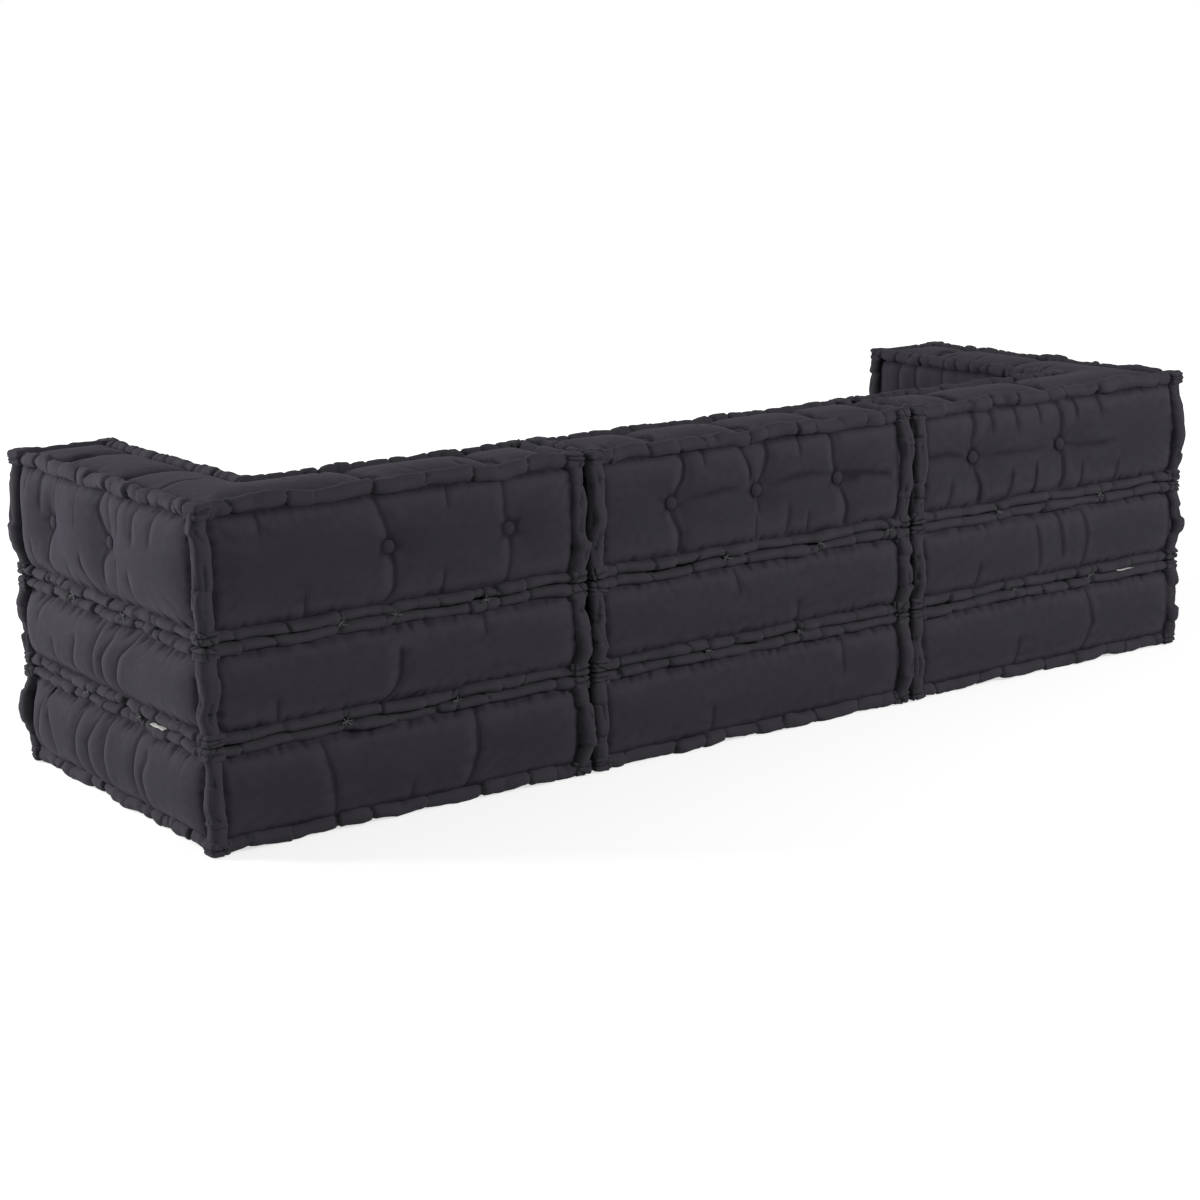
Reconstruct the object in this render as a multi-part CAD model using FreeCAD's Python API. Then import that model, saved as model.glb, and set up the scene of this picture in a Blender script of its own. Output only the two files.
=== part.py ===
import FreeCAD, Part
import math
import os

# Modular floor sofa: three free-standing modules in a row. Each module is a pile of three
# stuffed pads, a base, a seat and a back. The back pad of an end module is L-shaped, so it
# is the arm as well. Millimetres. The origin is on the floor under the middle of the sofa,
# +Z is up, the sofa's front faces -Y and +X is the sitter's left.

Vector = FreeCAD.Vector

# Plan of a module, between the knots at its corners
module_side = 660.0
arm_depth = 157.0
module_clearance = 0.4

# Heights of the three pads
base_height = 170.0
seat_height = 155.0
back_height = 215.0

# How a stuffed pad swells above and below its rolled edges
corner_bow_x = 6.0
corner_bow_y = 12.0
face_start = 5.0
face_sag = 6.0
least_sag = 1.0
belly_steps = 4

# Rolled edges, pinched by their stitches, with a knot at each corner
roll_radius = 14.0
roll_pinch = 2.0
roll_stitch_pitch = 82.0
knot_radius = 18.0
knot_neck = 15.0
knot_height = 27.6
knee_neck = 12.0

# Canvas cover and the filling inside it
cover_thickness = 2.0
filling_clearance = 0.3
seat_clearance = 0.3
groove_clearance = 1.0

# Pillows that stand up between the tufts
pillow_rise_back = 11.0
pillow_rise_seat = 15.0
pillow_gap = 12.0
pillow_corner = 26.0

# Tufts: a button at each end of a cord that goes through the pad
button_radius = 11.0
button_back = 8.8
button_thickness = 7.0
tuft_reach = 54.0
tuft_depth = 18.0
tie_radius = 1.5
end_tufts = (310.0, 530.0)
middle_tufts = (150.0, 330.0, 510.0)
seat_tufts = (330.0, 530.0)

# Twine that joins the pads of a module, and the blank care tags
stitch_places = (0.34, 0.48, 0.64)
stitch_pitch = 9.0
twine_radius = 1.5
twine_wrap = 45.0
tag_length = 62.0
tag_width = 13.0
tag_thickness = 0.8
tag_start = 5.0
left_tag_place = 171.0
right_tag_place = 137.0

# Values that follow from the sizes above
half_side = module_side / 2
module_pitch = module_side + 2 * (corner_bow_x + roll_radius) + module_clearance
seat_level = base_height
back_level = base_height + seat_height
top_level = base_height + seat_height + back_height
roll_lift = roll_radius + seat_clearance / 2
roll_bed = roll_radius + seat_clearance
face_out_x = corner_bow_x + face_start + least_sag + face_sag
face_out_y = corner_bow_y + face_start + least_sag + face_sag
up = Vector(0, 0, 1)


def unit(vector):
    """The vector at a length of one."""
    return vector * (1.0 / vector.Length)


def outward(start, end):
    """The normal that points out of a counter-clockwise outline's side."""
    along = unit(end - start)
    return Vector(along.y, -along.x, 0)


def normals_at(corners, i):
    """The outward normals of the sides before and after a corner."""
    return (outward(corners[i - 1], corners[i]),
            outward(corners[i], corners[(i + 1) % len(corners)]))


def moved_corners(corners, grow_x, grow_y):
    """Each corner of an outline, moved out along X and Y."""
    moved = []
    for i, corner in enumerate(corners):
        before, after = normals_at(corners, i)
        turn = before + after
        moved.append(corner + Vector(turn.x * grow_x, turn.y * grow_y, 0))
    return moved


def is_convex(corners, i):
    """Whether an outline turns outwards at this corner."""
    before, after = normals_at(corners, i)
    return before.x * after.y - before.y * after.x > 0


def arc(start, middle, end):
    """An edge on the circle through three points."""
    return Part.Arc(start, middle, end).toShape()


def turned(edges, point, axis):
    """The round solid of a closed section, drawn about the X axis, set along an axis."""
    solid = Part.Face(Part.Wire(edges)).revolve(Vector(0, 0, 0), Vector(1, 0, 0), 360)
    solid.Placement = FreeCAD.Placement(point, FreeCAD.Rotation(Vector(1, 0, 0), axis))
    return solid


def piped(path, radius):
    """A round tube along a wire."""
    first = path.Edges[0]
    start = first.valueAt(first.FirstParameter)
    tangent = first.tangentAt(first.FirstParameter)
    ring = Part.Wire([Part.makeCircle(radius, start, tangent)])
    return path.makePipeShell([ring], True, False)


def bow_share(low, high, height):
    """How far a corner roll has bowed out at a height, as a share of its full bow."""
    bow = math.hypot(corner_bow_x, corner_bow_y)
    half = (high - low) / 2 - roll_lift
    radius = (half ** 2 + bow ** 2) / (2 * bow)
    rise = height - (low + high) / 2
    return (math.sqrt(radius ** 2 - rise ** 2) - (radius - bow)) / bow


def belly_level(corners, low, high, height, inset):
    """One level of a pad's belly: an arc along each side and a groove at each corner roll."""
    share = bow_share(low, high, height)
    axes = moved_corners(corners, corner_bow_x * share, corner_bow_y * share)
    groove = roll_radius + groove_clearance + inset
    reach = face_start - inset
    run = math.sqrt(groove ** 2 - reach ** 2)
    starts = []
    ends = []
    hollows = []
    for i, axis in enumerate(axes):
        before, after = normals_at(corners, i)
        centre = axis + up * height
        if is_convex(corners, i):
            ends.append(centre + before * reach - after * run)
            starts.append(centre + after * reach - before * run)
            hollows.append(centre - unit(before + after) * groove)
        else:
            knee = centre + (before + after) * reach
            ends.append(knee)
            starts.append(knee)
            hollows.append(None)
    edges = []
    for i, start in enumerate(starts):
        following = (i + 1) % len(starts)
        out = outward(corners[i], corners[following])
        crest = (start + ends[following]) * 0.5 + out * (least_sag + face_sag * share)
        edges.append(arc(start, crest, ends[following]))
        if hollows[following]:
            edges.append(arc(ends[following], hollows[following], starts[following]))
    return Part.Wire(edges)


def pad_block(corners, low, high, inset):
    """A pad without its pillows: a core as wide as the rolls leave, and the belly round it."""
    narrow = moved_corners(corners, -roll_bed - inset, -roll_bed - inset)
    floor = [corner + up * (low + inset) for corner in narrow]
    core = Part.Face(Part.makePolygon(floor + floor[:1])).extrude(up * (high - low - 2 * inset))
    first = low + 2 * roll_lift + seat_clearance + inset
    last = high - 2 * roll_lift - seat_clearance - inset
    levels = []
    for step in range(belly_steps + 1):
        height = first + (last - first) * step / belly_steps
        levels.append(belly_level(corners, low, high, height, inset))
    belly = Part.makeLoft(levels, True, False)
    return core.fuse(belly)


def rounded_rectangle(box, draw, radius, height):
    """A level rectangle, drawn in from a box, with quarter-round corners."""
    low_x, low_y, high_x, high_y = (box[0] + draw, box[1] + draw, box[2] - draw, box[3] - draw)
    corners = [Vector(low_x, low_y, height), Vector(high_x, low_y, height),
               Vector(high_x, high_y, height), Vector(low_x, high_y, height)]
    edges = []
    for i, corner in enumerate(corners):
        following = corners[(i + 1) % 4]
        after = corners[(i + 2) % 4]
        along = unit(following - corner)
        turn = unit(after - following)
        start = corner + along * radius
        end = following - along * radius
        finish = following + turn * radius
        bend = following + (turn - along) * (radius * (1 - math.sqrt(0.5)))
        edges.append(Part.makeLine(start, end))
        edges.append(arc(end, bend, finish))
    return Part.Wire(edges)


def pillow(box, level, rise, inset):
    """A low dome over a rectangle of a pad's top, which stands up between the tufts."""
    half_width = min(box[2] - box[0], box[3] - box[1]) / 2 - inset
    levels = []
    for degrees in (-12, 22, 45, 65, 82):
        angle = math.radians(degrees)
        draw = inset + half_width * 0.85 * (1 - math.cos(angle))
        height = level - inset + rise * math.sin(angle)
        radius = min(pillow_corner, (half_width + inset - draw) * 0.8)
        levels.append(rounded_rectangle(box, draw, radius, height))
    return Part.makeLoft(levels, True, False)


def tuft_pit(point, out, inset):
    """What a tuft takes out of a pad's face: a pit with a round lip and a flat bottom."""
    reach = tuft_reach - button_radius - seat_clearance
    lip = (reach ** 2 + tuft_depth ** 2) / (2 * tuft_depth)
    lip_inside = lip - inset
    bottom = -tuft_depth - inset
    clear = face_sag + tuft_depth

    def on_lip(angle):
        return Vector(lip_inside * math.sin(angle) - lip, tuft_reach - lip_inside * math.cos(angle), 0)

    low_angle = math.asin((lip + bottom) / lip_inside)
    high_angle = math.pi / 2
    edges = [
        Part.makeLine(Vector(clear, 0, 0), Vector(clear, tuft_reach, 0)),
        Part.makeLine(Vector(clear, tuft_reach, 0), on_lip(high_angle)),
        arc(on_lip(high_angle), on_lip((high_angle + low_angle) / 2), on_lip(low_angle)),
        Part.makeLine(on_lip(low_angle), Vector(bottom, 0, 0)),
        Part.makeLine(Vector(bottom, 0, 0), Vector(clear, 0, 0)),
    ]
    return turned(edges, point, out)


def button(point, out):
    """A covered button with a domed face. Its flat back is at the point."""
    back = Vector(0, button_back, 0)
    waist = Vector(button_thickness * 0.27, button_radius, 0)
    shoulder = Vector(button_thickness * 0.67, button_radius * 0.86, 0)
    brow = Vector(button_thickness * 0.9, button_radius * 0.55, 0)
    crown = Vector(button_thickness, button_radius * 0.2, 0)
    middle = Vector(button_thickness, 0, 0)
    edges = [
        Part.makeLine(Vector(0, 0, 0), back),
        arc(back, waist, shoulder),
        arc(shoulder, brow, crown),
        Part.makeLine(crown, middle),
        Part.makeLine(middle, Vector(0, 0, 0)),
    ]
    return turned(edges, point, out)


class Tuft:
    """A cord through a pad between two faces, with a button at each end."""

    def __init__(self, face_a, face_b, depth):
        self.faces = (face_a, face_b)
        self.out = unit(face_a - face_b)
        self.depth = depth
        self.ends = (face_a - self.out * depth, face_b + self.out * depth)

    def pits(self, inset):
        """The pits at both ends."""
        if self.depth == 0.0:
            return []
        return [tuft_pit(self.faces[0], self.out, inset),
                tuft_pit(self.faces[1], self.out * -1, inset)]

    def tie(self):
        """The cord, from one button to the other."""
        length = (self.ends[0] - self.ends[1]).Length
        return Part.makeCylinder(tie_radius, length, self.ends[1], self.out)

    def tie_hole(self):
        """The hole that the cord goes through."""
        length = (self.faces[0] - self.faces[1]).Length
        return Part.makeCylinder(tie_radius + seat_clearance, length, self.faces[1], self.out)

    def buttons(self):
        """The buttons, a hair above the bottom of their pits."""
        lift = self.out * seat_clearance
        pair = [button(self.ends[0] + lift, self.out)]
        if self.depth > 0.0:
            pair.append(button(self.ends[1] - lift, self.out * -1))
        return pair


def pad_shape(corners, low, high, pillows, rise, tufts, inset):
    """A pad's whole form, or the same form drawn in by an inset."""
    body = pad_block(corners, low, high, inset)
    domes = [pillow(box, high, rise, inset) for box in pillows]
    if domes:
        body = body.multiFuse(domes)
    for tuft in tufts:
        for pit in tuft.pits(inset):
            body = body.cut(pit)
    return body


def cover_and_filling(corners, low, high, pillows=(), rise=0.0, tufts=()):
    """The canvas shell of a pad, and the stuffing that fills it."""
    outside = pad_shape(corners, low, high, pillows, rise, tufts, 0.0)
    inside = pad_shape(corners, low, high, pillows, rise, tufts, cover_thickness)
    filling = pad_shape(corners, low, high, pillows, rise, tufts, cover_thickness + filling_clearance)
    cover = outside.cut(inside)
    for tuft in tufts:
        hole = tuft.tie_hole()
        cover = cover.cut(hole)
        filling = filling.cut(hole)
    return cover, filling


def straight_roll(start, end):
    """A rolled edge between two points: one barrel between each stitch and the next."""
    length = (end - start).Length
    count = max(1, round(length / roll_stitch_pitch))
    step = length / count
    waist = roll_radius - roll_pinch
    edges = [Part.makeLine(Vector(0, 0, 0), Vector(0, waist, 0))]
    for i in range(count):
        edges.append(arc(Vector(i * step, waist, 0), Vector((i + 0.5) * step, roll_radius, 0),
                         Vector((i + 1) * step, waist, 0)))
    edges.append(Part.makeLine(Vector(length, waist, 0), Vector(length, 0, 0)))
    edges.append(Part.makeLine(Vector(length, 0, 0), Vector(0, 0, 0)))
    return turned(edges, start, unit(end - start))


def corner_roll(bottom, top, bow):
    """The rolled edge up a corner, which bows out at the middle of the pad's height."""
    return piped(Part.Wire([arc(bottom, (bottom + top) * 0.5 + bow, top)]), roll_radius)


def knot(centre, radius, neck):
    """The knotty end of the rolls at a corner: a squat barrel."""
    half = knot_height / 2
    edges = [
        Part.makeLine(Vector(-half, 0, 0), Vector(-half, neck, 0)),
        arc(Vector(-half, neck, 0), Vector(0, radius, 0), Vector(half, neck, 0)),
        Part.makeLine(Vector(half, neck, 0), Vector(half, 0, 0)),
        Part.makeLine(Vector(half, 0, 0), Vector(-half, 0, 0)),
    ]
    return turned(edges, centre, up)


def edge_rolls(corners, low, high, sides, knots):
    """The rolled edges of some sides of a pad, with the knots that are listed.

    A roll stops short of a corner whose knot belongs to another piece. In an inward corner
    the knot is as slim as the rolls.
    """
    parts = []
    levels = (up * (low + roll_lift), up * (high - roll_lift))
    short = knot_radius + seat_clearance
    for side in sides:
        following = (side + 1) % len(corners)
        start = corners[side]
        end = corners[following]
        along = unit(end - start)
        if side not in knots:
            start = start + along * short
        if following not in knots:
            end = end - along * short
        for level in levels:
            parts.append(straight_roll(start + level, end + level))
    for i in knots:
        convex = is_convex(corners, i)
        radius, neck = (knot_radius, knot_neck) if convex else (roll_radius, knee_neck)
        for level in levels:
            parts.append(knot(corners[i] + level, radius, neck))
        if convex:
            before, after = normals_at(corners, i)
            bow = Vector((before + after).x * corner_bow_x, (before + after).y * corner_bow_y, 0)
            parts.append(corner_roll(corners[i] + levels[0], corners[i] + levels[1], bow))
    return parts[0].multiFuse(parts[1:])


def half_loop(place, out, level):
    """Twine over the upper roll and under the lower roll of a seam, on the outside."""
    reach = roll_radius + seat_clearance + twine_radius
    upper = place + up * (level + roll_lift)
    lower = place + up * (level - roll_lift)
    wrap = math.radians(twine_wrap)

    def round_roll(centre, angle):
        return centre + out * (reach * math.cos(angle)) + up * (reach * math.sin(angle))

    path = Part.Wire([
        arc(round_roll(upper, wrap), round_roll(upper, wrap / 2), round_roll(upper, 0)),
        Part.makeLine(round_roll(upper, 0), round_roll(lower, 0)),
        arc(round_roll(lower, 0), round_roll(lower, -wrap / 2), round_roll(lower, -wrap)),
    ])
    return piped(path, twine_radius)


def side_stitches(start, end, level):
    """The pairs of twine loops that sew two pads together along one side."""
    out = outward(start, end)
    along = unit(end - start)
    loops = []
    for share in stitch_places:
        for half_step in (-stitch_pitch / 2, stitch_pitch / 2):
            place = start + (end - start) * share + along * half_step
            loops.append(half_loop(place, out, level))
    return loops


class Module:
    """One module, with its plan measured from its outer rear corner, inwards and forwards.

    An end module stands at the sitter's left, so its outer side faces +X.
    """

    def __init__(self, centre_x, at_end):
        self.centre_x = centre_x
        self.at_end = at_end

    def point(self, inwards, forwards, height=0.0):
        """A point of the module's plan in the sofa's own frame."""
        return Vector(self.centre_x + half_side - inwards, half_side - forwards, height)

    def outline(self, plan):
        """An outline in the sofa's frame, counter-clockwise from the outer rear corner."""
        return [self.point(u, v) for u, v in plan]

    def box(self, near_u, near_v, far_u, far_v):
        """A rectangle of the plan as its low and high X and Y."""
        high = self.point(near_u, near_v)
        low = self.point(far_u, far_v)
        return (low.x, low.y, high.x, high.y)

    def square(self):
        """The plan of the base and seat pads."""
        return self.outline([(0, 0), (module_side, 0), (module_side, module_side), (0, module_side)])

    def back(self):
        """The plan of the back pad, with the arm on an end module."""
        if self.at_end:
            return self.outline([(0, 0), (module_side, 0), (module_side, arm_depth),
                                 (arm_depth, arm_depth), (arm_depth, module_side), (0, module_side)])
        return self.outline([(0, 0), (module_side, 0), (module_side, arm_depth), (0, arm_depth)])

    def back_tufts(self):
        """Tufts through the back, and through the arm on an end module."""
        height = (back_level + top_level) / 2
        tufts = []
        for place in (end_tufts if self.at_end else middle_tufts):
            tufts.append(Tuft(self.point(place, -face_out_y, height),
                              self.point(place, arm_depth + face_out_y, height), tuft_depth))
            if self.at_end:
                tufts.append(Tuft(self.point(-face_out_x, place, height),
                                  self.point(arm_depth + face_out_x, place, height), tuft_depth))
        return tufts

    def seat_columns(self):
        """Where the seat's tufts stand across the module."""
        return seat_tufts if self.at_end else middle_tufts

    def seat_tufts(self):
        """Tufts through the seat, where no back or arm stands on it."""
        return [Tuft(self.point(u, v, back_level), self.point(u, v, seat_level), 0.0)
                for u in self.seat_columns() for v in seat_tufts]

    def cells(self, start, tufts):
        """The stretches of pillow between an edge, the tufts and the far edge."""
        stops = [start + roll_bed - pillow_gap / 2] + [place for place in tufts if place > start]
        stops.append(module_side - roll_bed + pillow_gap / 2)
        return [(low + pillow_gap / 2, high - pillow_gap / 2) for low, high in zip(stops, stops[1:])]

    def back_pillows(self):
        """The pillows along the top of the back, and along the arm of an end module."""
        near = roll_bed
        far = arm_depth - roll_bed
        row = end_tufts if self.at_end else middle_tufts
        boxes = [self.box(low, near, high, far) for low, high in self.cells(0.0, row)]
        if self.at_end:
            boxes.extend(self.box(near, low, far, high) for low, high in self.cells(arm_depth, row))
        return boxes

    def seat_pillows(self):
        """The pillows of the seat, in front of the back and beside the arm."""
        first = arm_depth if self.at_end else 0.0
        return [self.box(low_u, low_v, high_u, high_v)
                for low_u, high_u in self.cells(first, self.seat_columns())
                for low_v, high_v in self.cells(arm_depth, seat_tufts)]

    def stitches(self):
        """All the twine that joins the three pads."""
        square = self.square()
        loops = []
        for i, start in enumerate(square):
            end = square[(i + 1) % 4]
            loops.extend(side_stitches(start, end, seat_level))
            out = outward(start, end)
            under_arm = self.at_end and out.x > 0.5
            if out.y > 0.5 or under_arm:
                loops.extend(side_stitches(start, end, back_level))
        return loops

    def care_tag(self, on_side, place):
        """A blank woven tag sewn into the seam between base and seat."""
        near = place - tag_length / 2
        far = place + tag_length / 2
        rim = -tag_start - tag_width
        box = self.box(rim, near, -tag_start, far) if on_side else self.box(near, rim, far, -tag_start)
        corner = Vector(box[0], box[1], seat_level - tag_thickness / 2)
        return Part.makeBox(box[2] - box[0], box[3] - box[1], tag_thickness, corner)


def buttons_of(tufts):
    """The buttons of a group of tufts."""
    return Part.Compound([part for tuft in tufts for part in tuft.buttons()])


def cords_of(tufts):
    """The cords of a group of tufts."""
    return Part.Compound([tuft.tie() for tuft in tufts])


def base_pieces(module):
    """The base pad."""
    square = module.square()
    cover, filling = cover_and_filling(square, 0.0, seat_level)
    rolls = edge_rolls(square, 0.0, seat_level, range(4), range(4))
    return {"base_cover": cover, "base_filling": filling, "base_edge_rolls": rolls}


def seat_pieces(module):
    """The seat pad and its tufts."""
    square = module.square()
    tufts = module.seat_tufts()
    cover, filling = cover_and_filling(square, seat_level, back_level, module.seat_pillows(),
                                       pillow_rise_seat, tufts)
    rolls = edge_rolls(square, seat_level, back_level, range(4), range(4))
    return {"seat_cover": cover, "seat_filling": filling, "seat_edge_rolls": rolls,
            "seat_buttons": buttons_of(tufts), "seat_tuft_cords": cords_of(tufts)}


def back_pieces(module):
    """The back pad, with the arm on an end module, and its tufts."""
    plan = module.back()
    tufts = module.back_tufts()
    cover, filling = cover_and_filling(plan, back_level, top_level, module.back_pillows(),
                                       pillow_rise_back, tufts)
    pieces = {"back_cover": cover, "back_filling": filling,
              "back_buttons": buttons_of(tufts), "back_tuft_cords": cords_of(tufts)}
    if module.at_end:
        pieces["back_edge_rolls"] = edge_rolls(plan, back_level, top_level, range(3), range(4))
        pieces["arm_edge_rolls"] = edge_rolls(plan, back_level, top_level, range(3, 6), range(4, 6))
    else:
        pieces["back_edge_rolls"] = edge_rolls(plan, back_level, top_level, range(4), range(4))
    return pieces


def save(node, shape):
    """Write one sub-part to its own file."""
    shape.exportStep(os.path.join("parts", node + ".step"))
    litres = sum(solid.Volume for solid in shape.Solids) / 1e6
    print(f"{node}: {len(shape.Solids)} solids, {litres:.4f} litres, valid {shape.isValid()}")


os.makedirs("parts", exist_ok=True)
end = Module(module_pitch, True)
middle = Module(0.0, False)
to_end = Vector(module_pitch, 0, 0)

for piece, shape in base_pieces(middle).items():
    save(f"middle_{piece}", shape)
    save(f"left_{piece}", shape.translated(to_end))
    save(f"right_{piece}", shape.translated(to_end * -1))

for piece, shape in {**seat_pieces(middle), **back_pieces(middle)}.items():
    save(f"middle_{piece}", shape)

for piece, shape in {**seat_pieces(end), **back_pieces(end)}.items():
    save(f"left_{piece}", shape)
    save(f"right_{piece}", shape.mirror(Vector(0, 0, 0), Vector(1, 0, 0)))

save("middle_joining_stitches", Part.Compound(middle.stitches()))
save("left_joining_stitches", Part.Compound(end.stitches()))
save("right_joining_stitches",
     Part.Compound(end.stitches()).mirror(Vector(0, 0, 0), Vector(1, 0, 0)))
save("left_care_tag", end.care_tag(True, left_tag_place))
save("right_care_tag", end.care_tag(False, right_tag_place).mirror(Vector(0, 0, 0), Vector(1, 0, 0)))
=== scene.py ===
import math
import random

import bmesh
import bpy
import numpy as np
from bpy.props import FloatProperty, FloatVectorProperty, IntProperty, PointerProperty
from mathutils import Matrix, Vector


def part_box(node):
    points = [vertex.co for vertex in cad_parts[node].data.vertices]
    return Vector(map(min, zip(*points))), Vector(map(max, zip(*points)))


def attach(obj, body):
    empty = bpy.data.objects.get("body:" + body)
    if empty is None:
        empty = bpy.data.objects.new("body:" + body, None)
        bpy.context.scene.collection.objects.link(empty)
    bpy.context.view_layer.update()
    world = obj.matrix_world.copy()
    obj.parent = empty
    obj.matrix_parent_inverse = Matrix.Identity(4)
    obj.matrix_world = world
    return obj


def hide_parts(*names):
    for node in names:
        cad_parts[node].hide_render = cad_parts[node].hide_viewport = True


bl_info = {
    "name": "Modular Floor Sofa",
    "version": (1, 0, 0),
    "blender": (4, 5, 0),
    "location": "3D View > Sidebar > Sofa",
    "description": "Floor sofa modules of stuffed canvas pads with rolled edges, tufts and twine",
    "category": "Add Mesh",
}

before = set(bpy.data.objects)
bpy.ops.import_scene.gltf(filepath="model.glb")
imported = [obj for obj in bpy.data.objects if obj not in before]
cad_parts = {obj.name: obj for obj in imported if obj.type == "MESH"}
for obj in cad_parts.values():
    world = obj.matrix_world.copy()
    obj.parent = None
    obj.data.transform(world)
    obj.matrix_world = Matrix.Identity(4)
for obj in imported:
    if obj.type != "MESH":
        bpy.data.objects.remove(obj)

# Metres throughout. A module's plan is measured from its outer rear corner knot: u runs inwards
# along the back, v runs forwards along the arm, and z is the height above the floor.

MODULES = ("left", "middle", "right")
PADS = ("base", "seat", "back")

# Rolled edges
ROLL_RADIUS = 0.014
CORNER_BOW_U = 0.006
CORNER_BOW_V = 0.012

# Rolls that other pads press on are flatter and lie closer to the seam than the free ones
FREE_ROLL = 0.0128
PRESSED_ROLL = 0.0138
PRESSED_FLATNESS = 0.70
PRESSED_SHIFT = 0.0048
CORNER_ROLL = 0.0155
CORNER_CUFF = 0.036

# Tufts and buttons
END_TUFTS = (0.310, 0.530)
MIDDLE_TUFTS = (0.150, 0.330, 0.510)
SEAT_TUFTS = (0.330, 0.530)
TUFT_DEPTH = 0.018
TUFT_SPREAD = {"left": 0.026, "middle": 0.046, "right": 0.042}
ARM_SPREAD = 0.056
PIT_STRETCH = 0.55
SEAT_SPREAD = 0.040
BUTTON_RADIUS = 0.011
BUTTON_HEIGHT = 0.007
BUTTON_LIFT = 0.0003

# Twine that joins the pads, and the places along a module's sides where it crosses a seam
TWINE_RADIUS = 0.0007
STAR_REACH = 0.010
STAR_OUT = 0.0100
STAR_ANGLES = (0.45, 1.45, 2.55)
STAR_KNOT = 0.0016
REAR_STARS = {"left": (0.222, 0.318, 0.482), "middle": (0.263, 0.469, 0.628), "right": (0.201, 0.463)}
OUTER_STARS = (0.262, 0.455)
SEAM_STARS = (0.224, 0.422)

# Blank tape tags in the seam between base and seat
TAG_THICKNESS = 0.0009
TAG_DROOP = 0.0008
TAG_SHARE = 0.72
TAG_SHOWN = 0.60
TAG_SAG = 1.8
TAG_WAVE = 0.0006
TAG_WAVES = 9

# How far the pads' faces swell past the knots' line, and their tops past the rolls
BULGE_U = 0.018
BULGE_V = 0.024
OUTER_BULGE = 0.031
BACK_RISE = 0.005
SEAT_RISE = 0.010

# The canvas fades on ridges, and shade is painted into its folds and beside the rolls, where the
# rolls shade it. A ridge that stands half the relief height above its surroundings has faded most
RELIEF_HEIGHT = 0.0012
RELIEF_ROUNDS = 6
ROLL_SHADE_REACH = 0.009
ROLL_SHADE_SHARE = 0.5

# A seam holds the canvas down for a little way beside it, and then the canvas swells roundly
SEAM_HOLD = 0.0110
PRESSED_HOLD = 0.0068
SEAM_PIN = 0.0090
FACE_ROUND = 0.058
CORNER_ROUND = 0.055

# No fold draws in right beside a seam, and from there it takes these distances to reach its depth
EDGE_HELD = 0.004
SWELL_FADE = 0.012
PRESS_FADE = 0.008
TROUGH_FADE = 0.02

# A fold's flanks widen as it deepens, and so does its hold on the canvas
STEEP_FLANK = 0.005
STEEP_GROWTH = 0.5
GENTLE_FLANK = 0.012
GENTLE_GROWTH = 1.4
LEAST_HOLD = 0.20
HOLD_GROWTH = 70
MOST_HOLD = 0.9
FOLD_FADE = 0.16
LIP_REACH = 0.010
CREASE_WIDTH = 0.015
LEAST_FOLD_GAP = 0.008

# How steeply the canvas rises from a button's rim, on the sides and on a seat
PIT_SHARPNESS = 1.1
SEAT_PIT_SHARPNESS = 1.4

# Folds where the photograph doesn't look
TUFT_FOLDS = (0.0035, 0.006)
TUFT_FOLD_WANDER = 0.020
CHANCE_FOLDS = (0.0015, 0.005)
CHANCE_FOLD_SPACING = (0.045, 0.095)
CHANCE_FOLD_CURVE = 0.012
FOLD_WANDER = 0.010

# The lines between the pillows of a top, and the crown of the pillows
TROUGH_WIDTH = 0.014
TROUGH_SHARPNESS = 1.3
TROUGH_DEPTH = 0.007
RIM_RAMP = 0.030
SEAT_DOME = 0.09
DOME_SHARE = 0.6
BACK_EDGE = 0.004

# How firmly the canvas is held while the stuffing swells it, and its unevenness before
TROUGH_PIN = 0.7
TUFT_PIN = 0.85
TUFT_PIN_REACH = 0.8
CANVAS_JITTER = 0.0004

# Lines drawn into the swelled canvas: how deep they are, and how wide
DRAWN_FOLD = 0.0006
DRAWN_FOLD_GROWTH = 0.30
DRAWN_FOLD_WIDTH = 0.0034
DRAWN_CREASE_SHARE = 0.25
DRAWN_CREASE_WIDTH = 0.0060
TUFT_RIPPLE = 0.0006
TUFT_RIPPLE_AT = 0.020
TUFT_RIPPLE_WIDTH = 0.010
BUTTON_GROOVE = 0.0010
BUTTON_GROOVE_AT = 0.0125
BUTTON_GROOVE_WIDTH = 0.0050
TROUGH_CREASE = 0.0040
CHANCE_CREASES = (0.0010, 0.0026)
CHANCE_CREASE_SPACING = (0.070, 0.150)
CHANCE_CREASE_REACH = (0.35, 0.70)
TOP_CREASE_WIDTH = 0.0045
TOP_CREASE_WANDER = 0.012
TOP_CREASE_FADE = 0.03
TOP_HELD = 0.010

# Gathers and tucks beside the seams. Each kind has its reach and its strength
GATHER_DEPTH = 0.0013
GATHER_START = 0.010
TUCK_WIDTH = 0.0045
TUCK_DEPTHS = (0.0008, 0.0036)
TUCK_SPACING = (0.018, 0.070)
ARM_GATHERS = (0.009, 1.0)
SIDE_GATHERS = (0.0055, 0.45)
CORNER_GATHER_REACH = 0.006
TOP_GATHER_REACH = 0.008

# Rings of a roll's tube, and the extra ones beside each stitch
RING_STEP = 0.0075
LEAST_RING_STEP = 0.0011
STITCH_RINGS = (-0.0042, -0.0020, 0, 0.0020, 0.0042)
ROLL_SEGMENTS = 22

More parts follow.
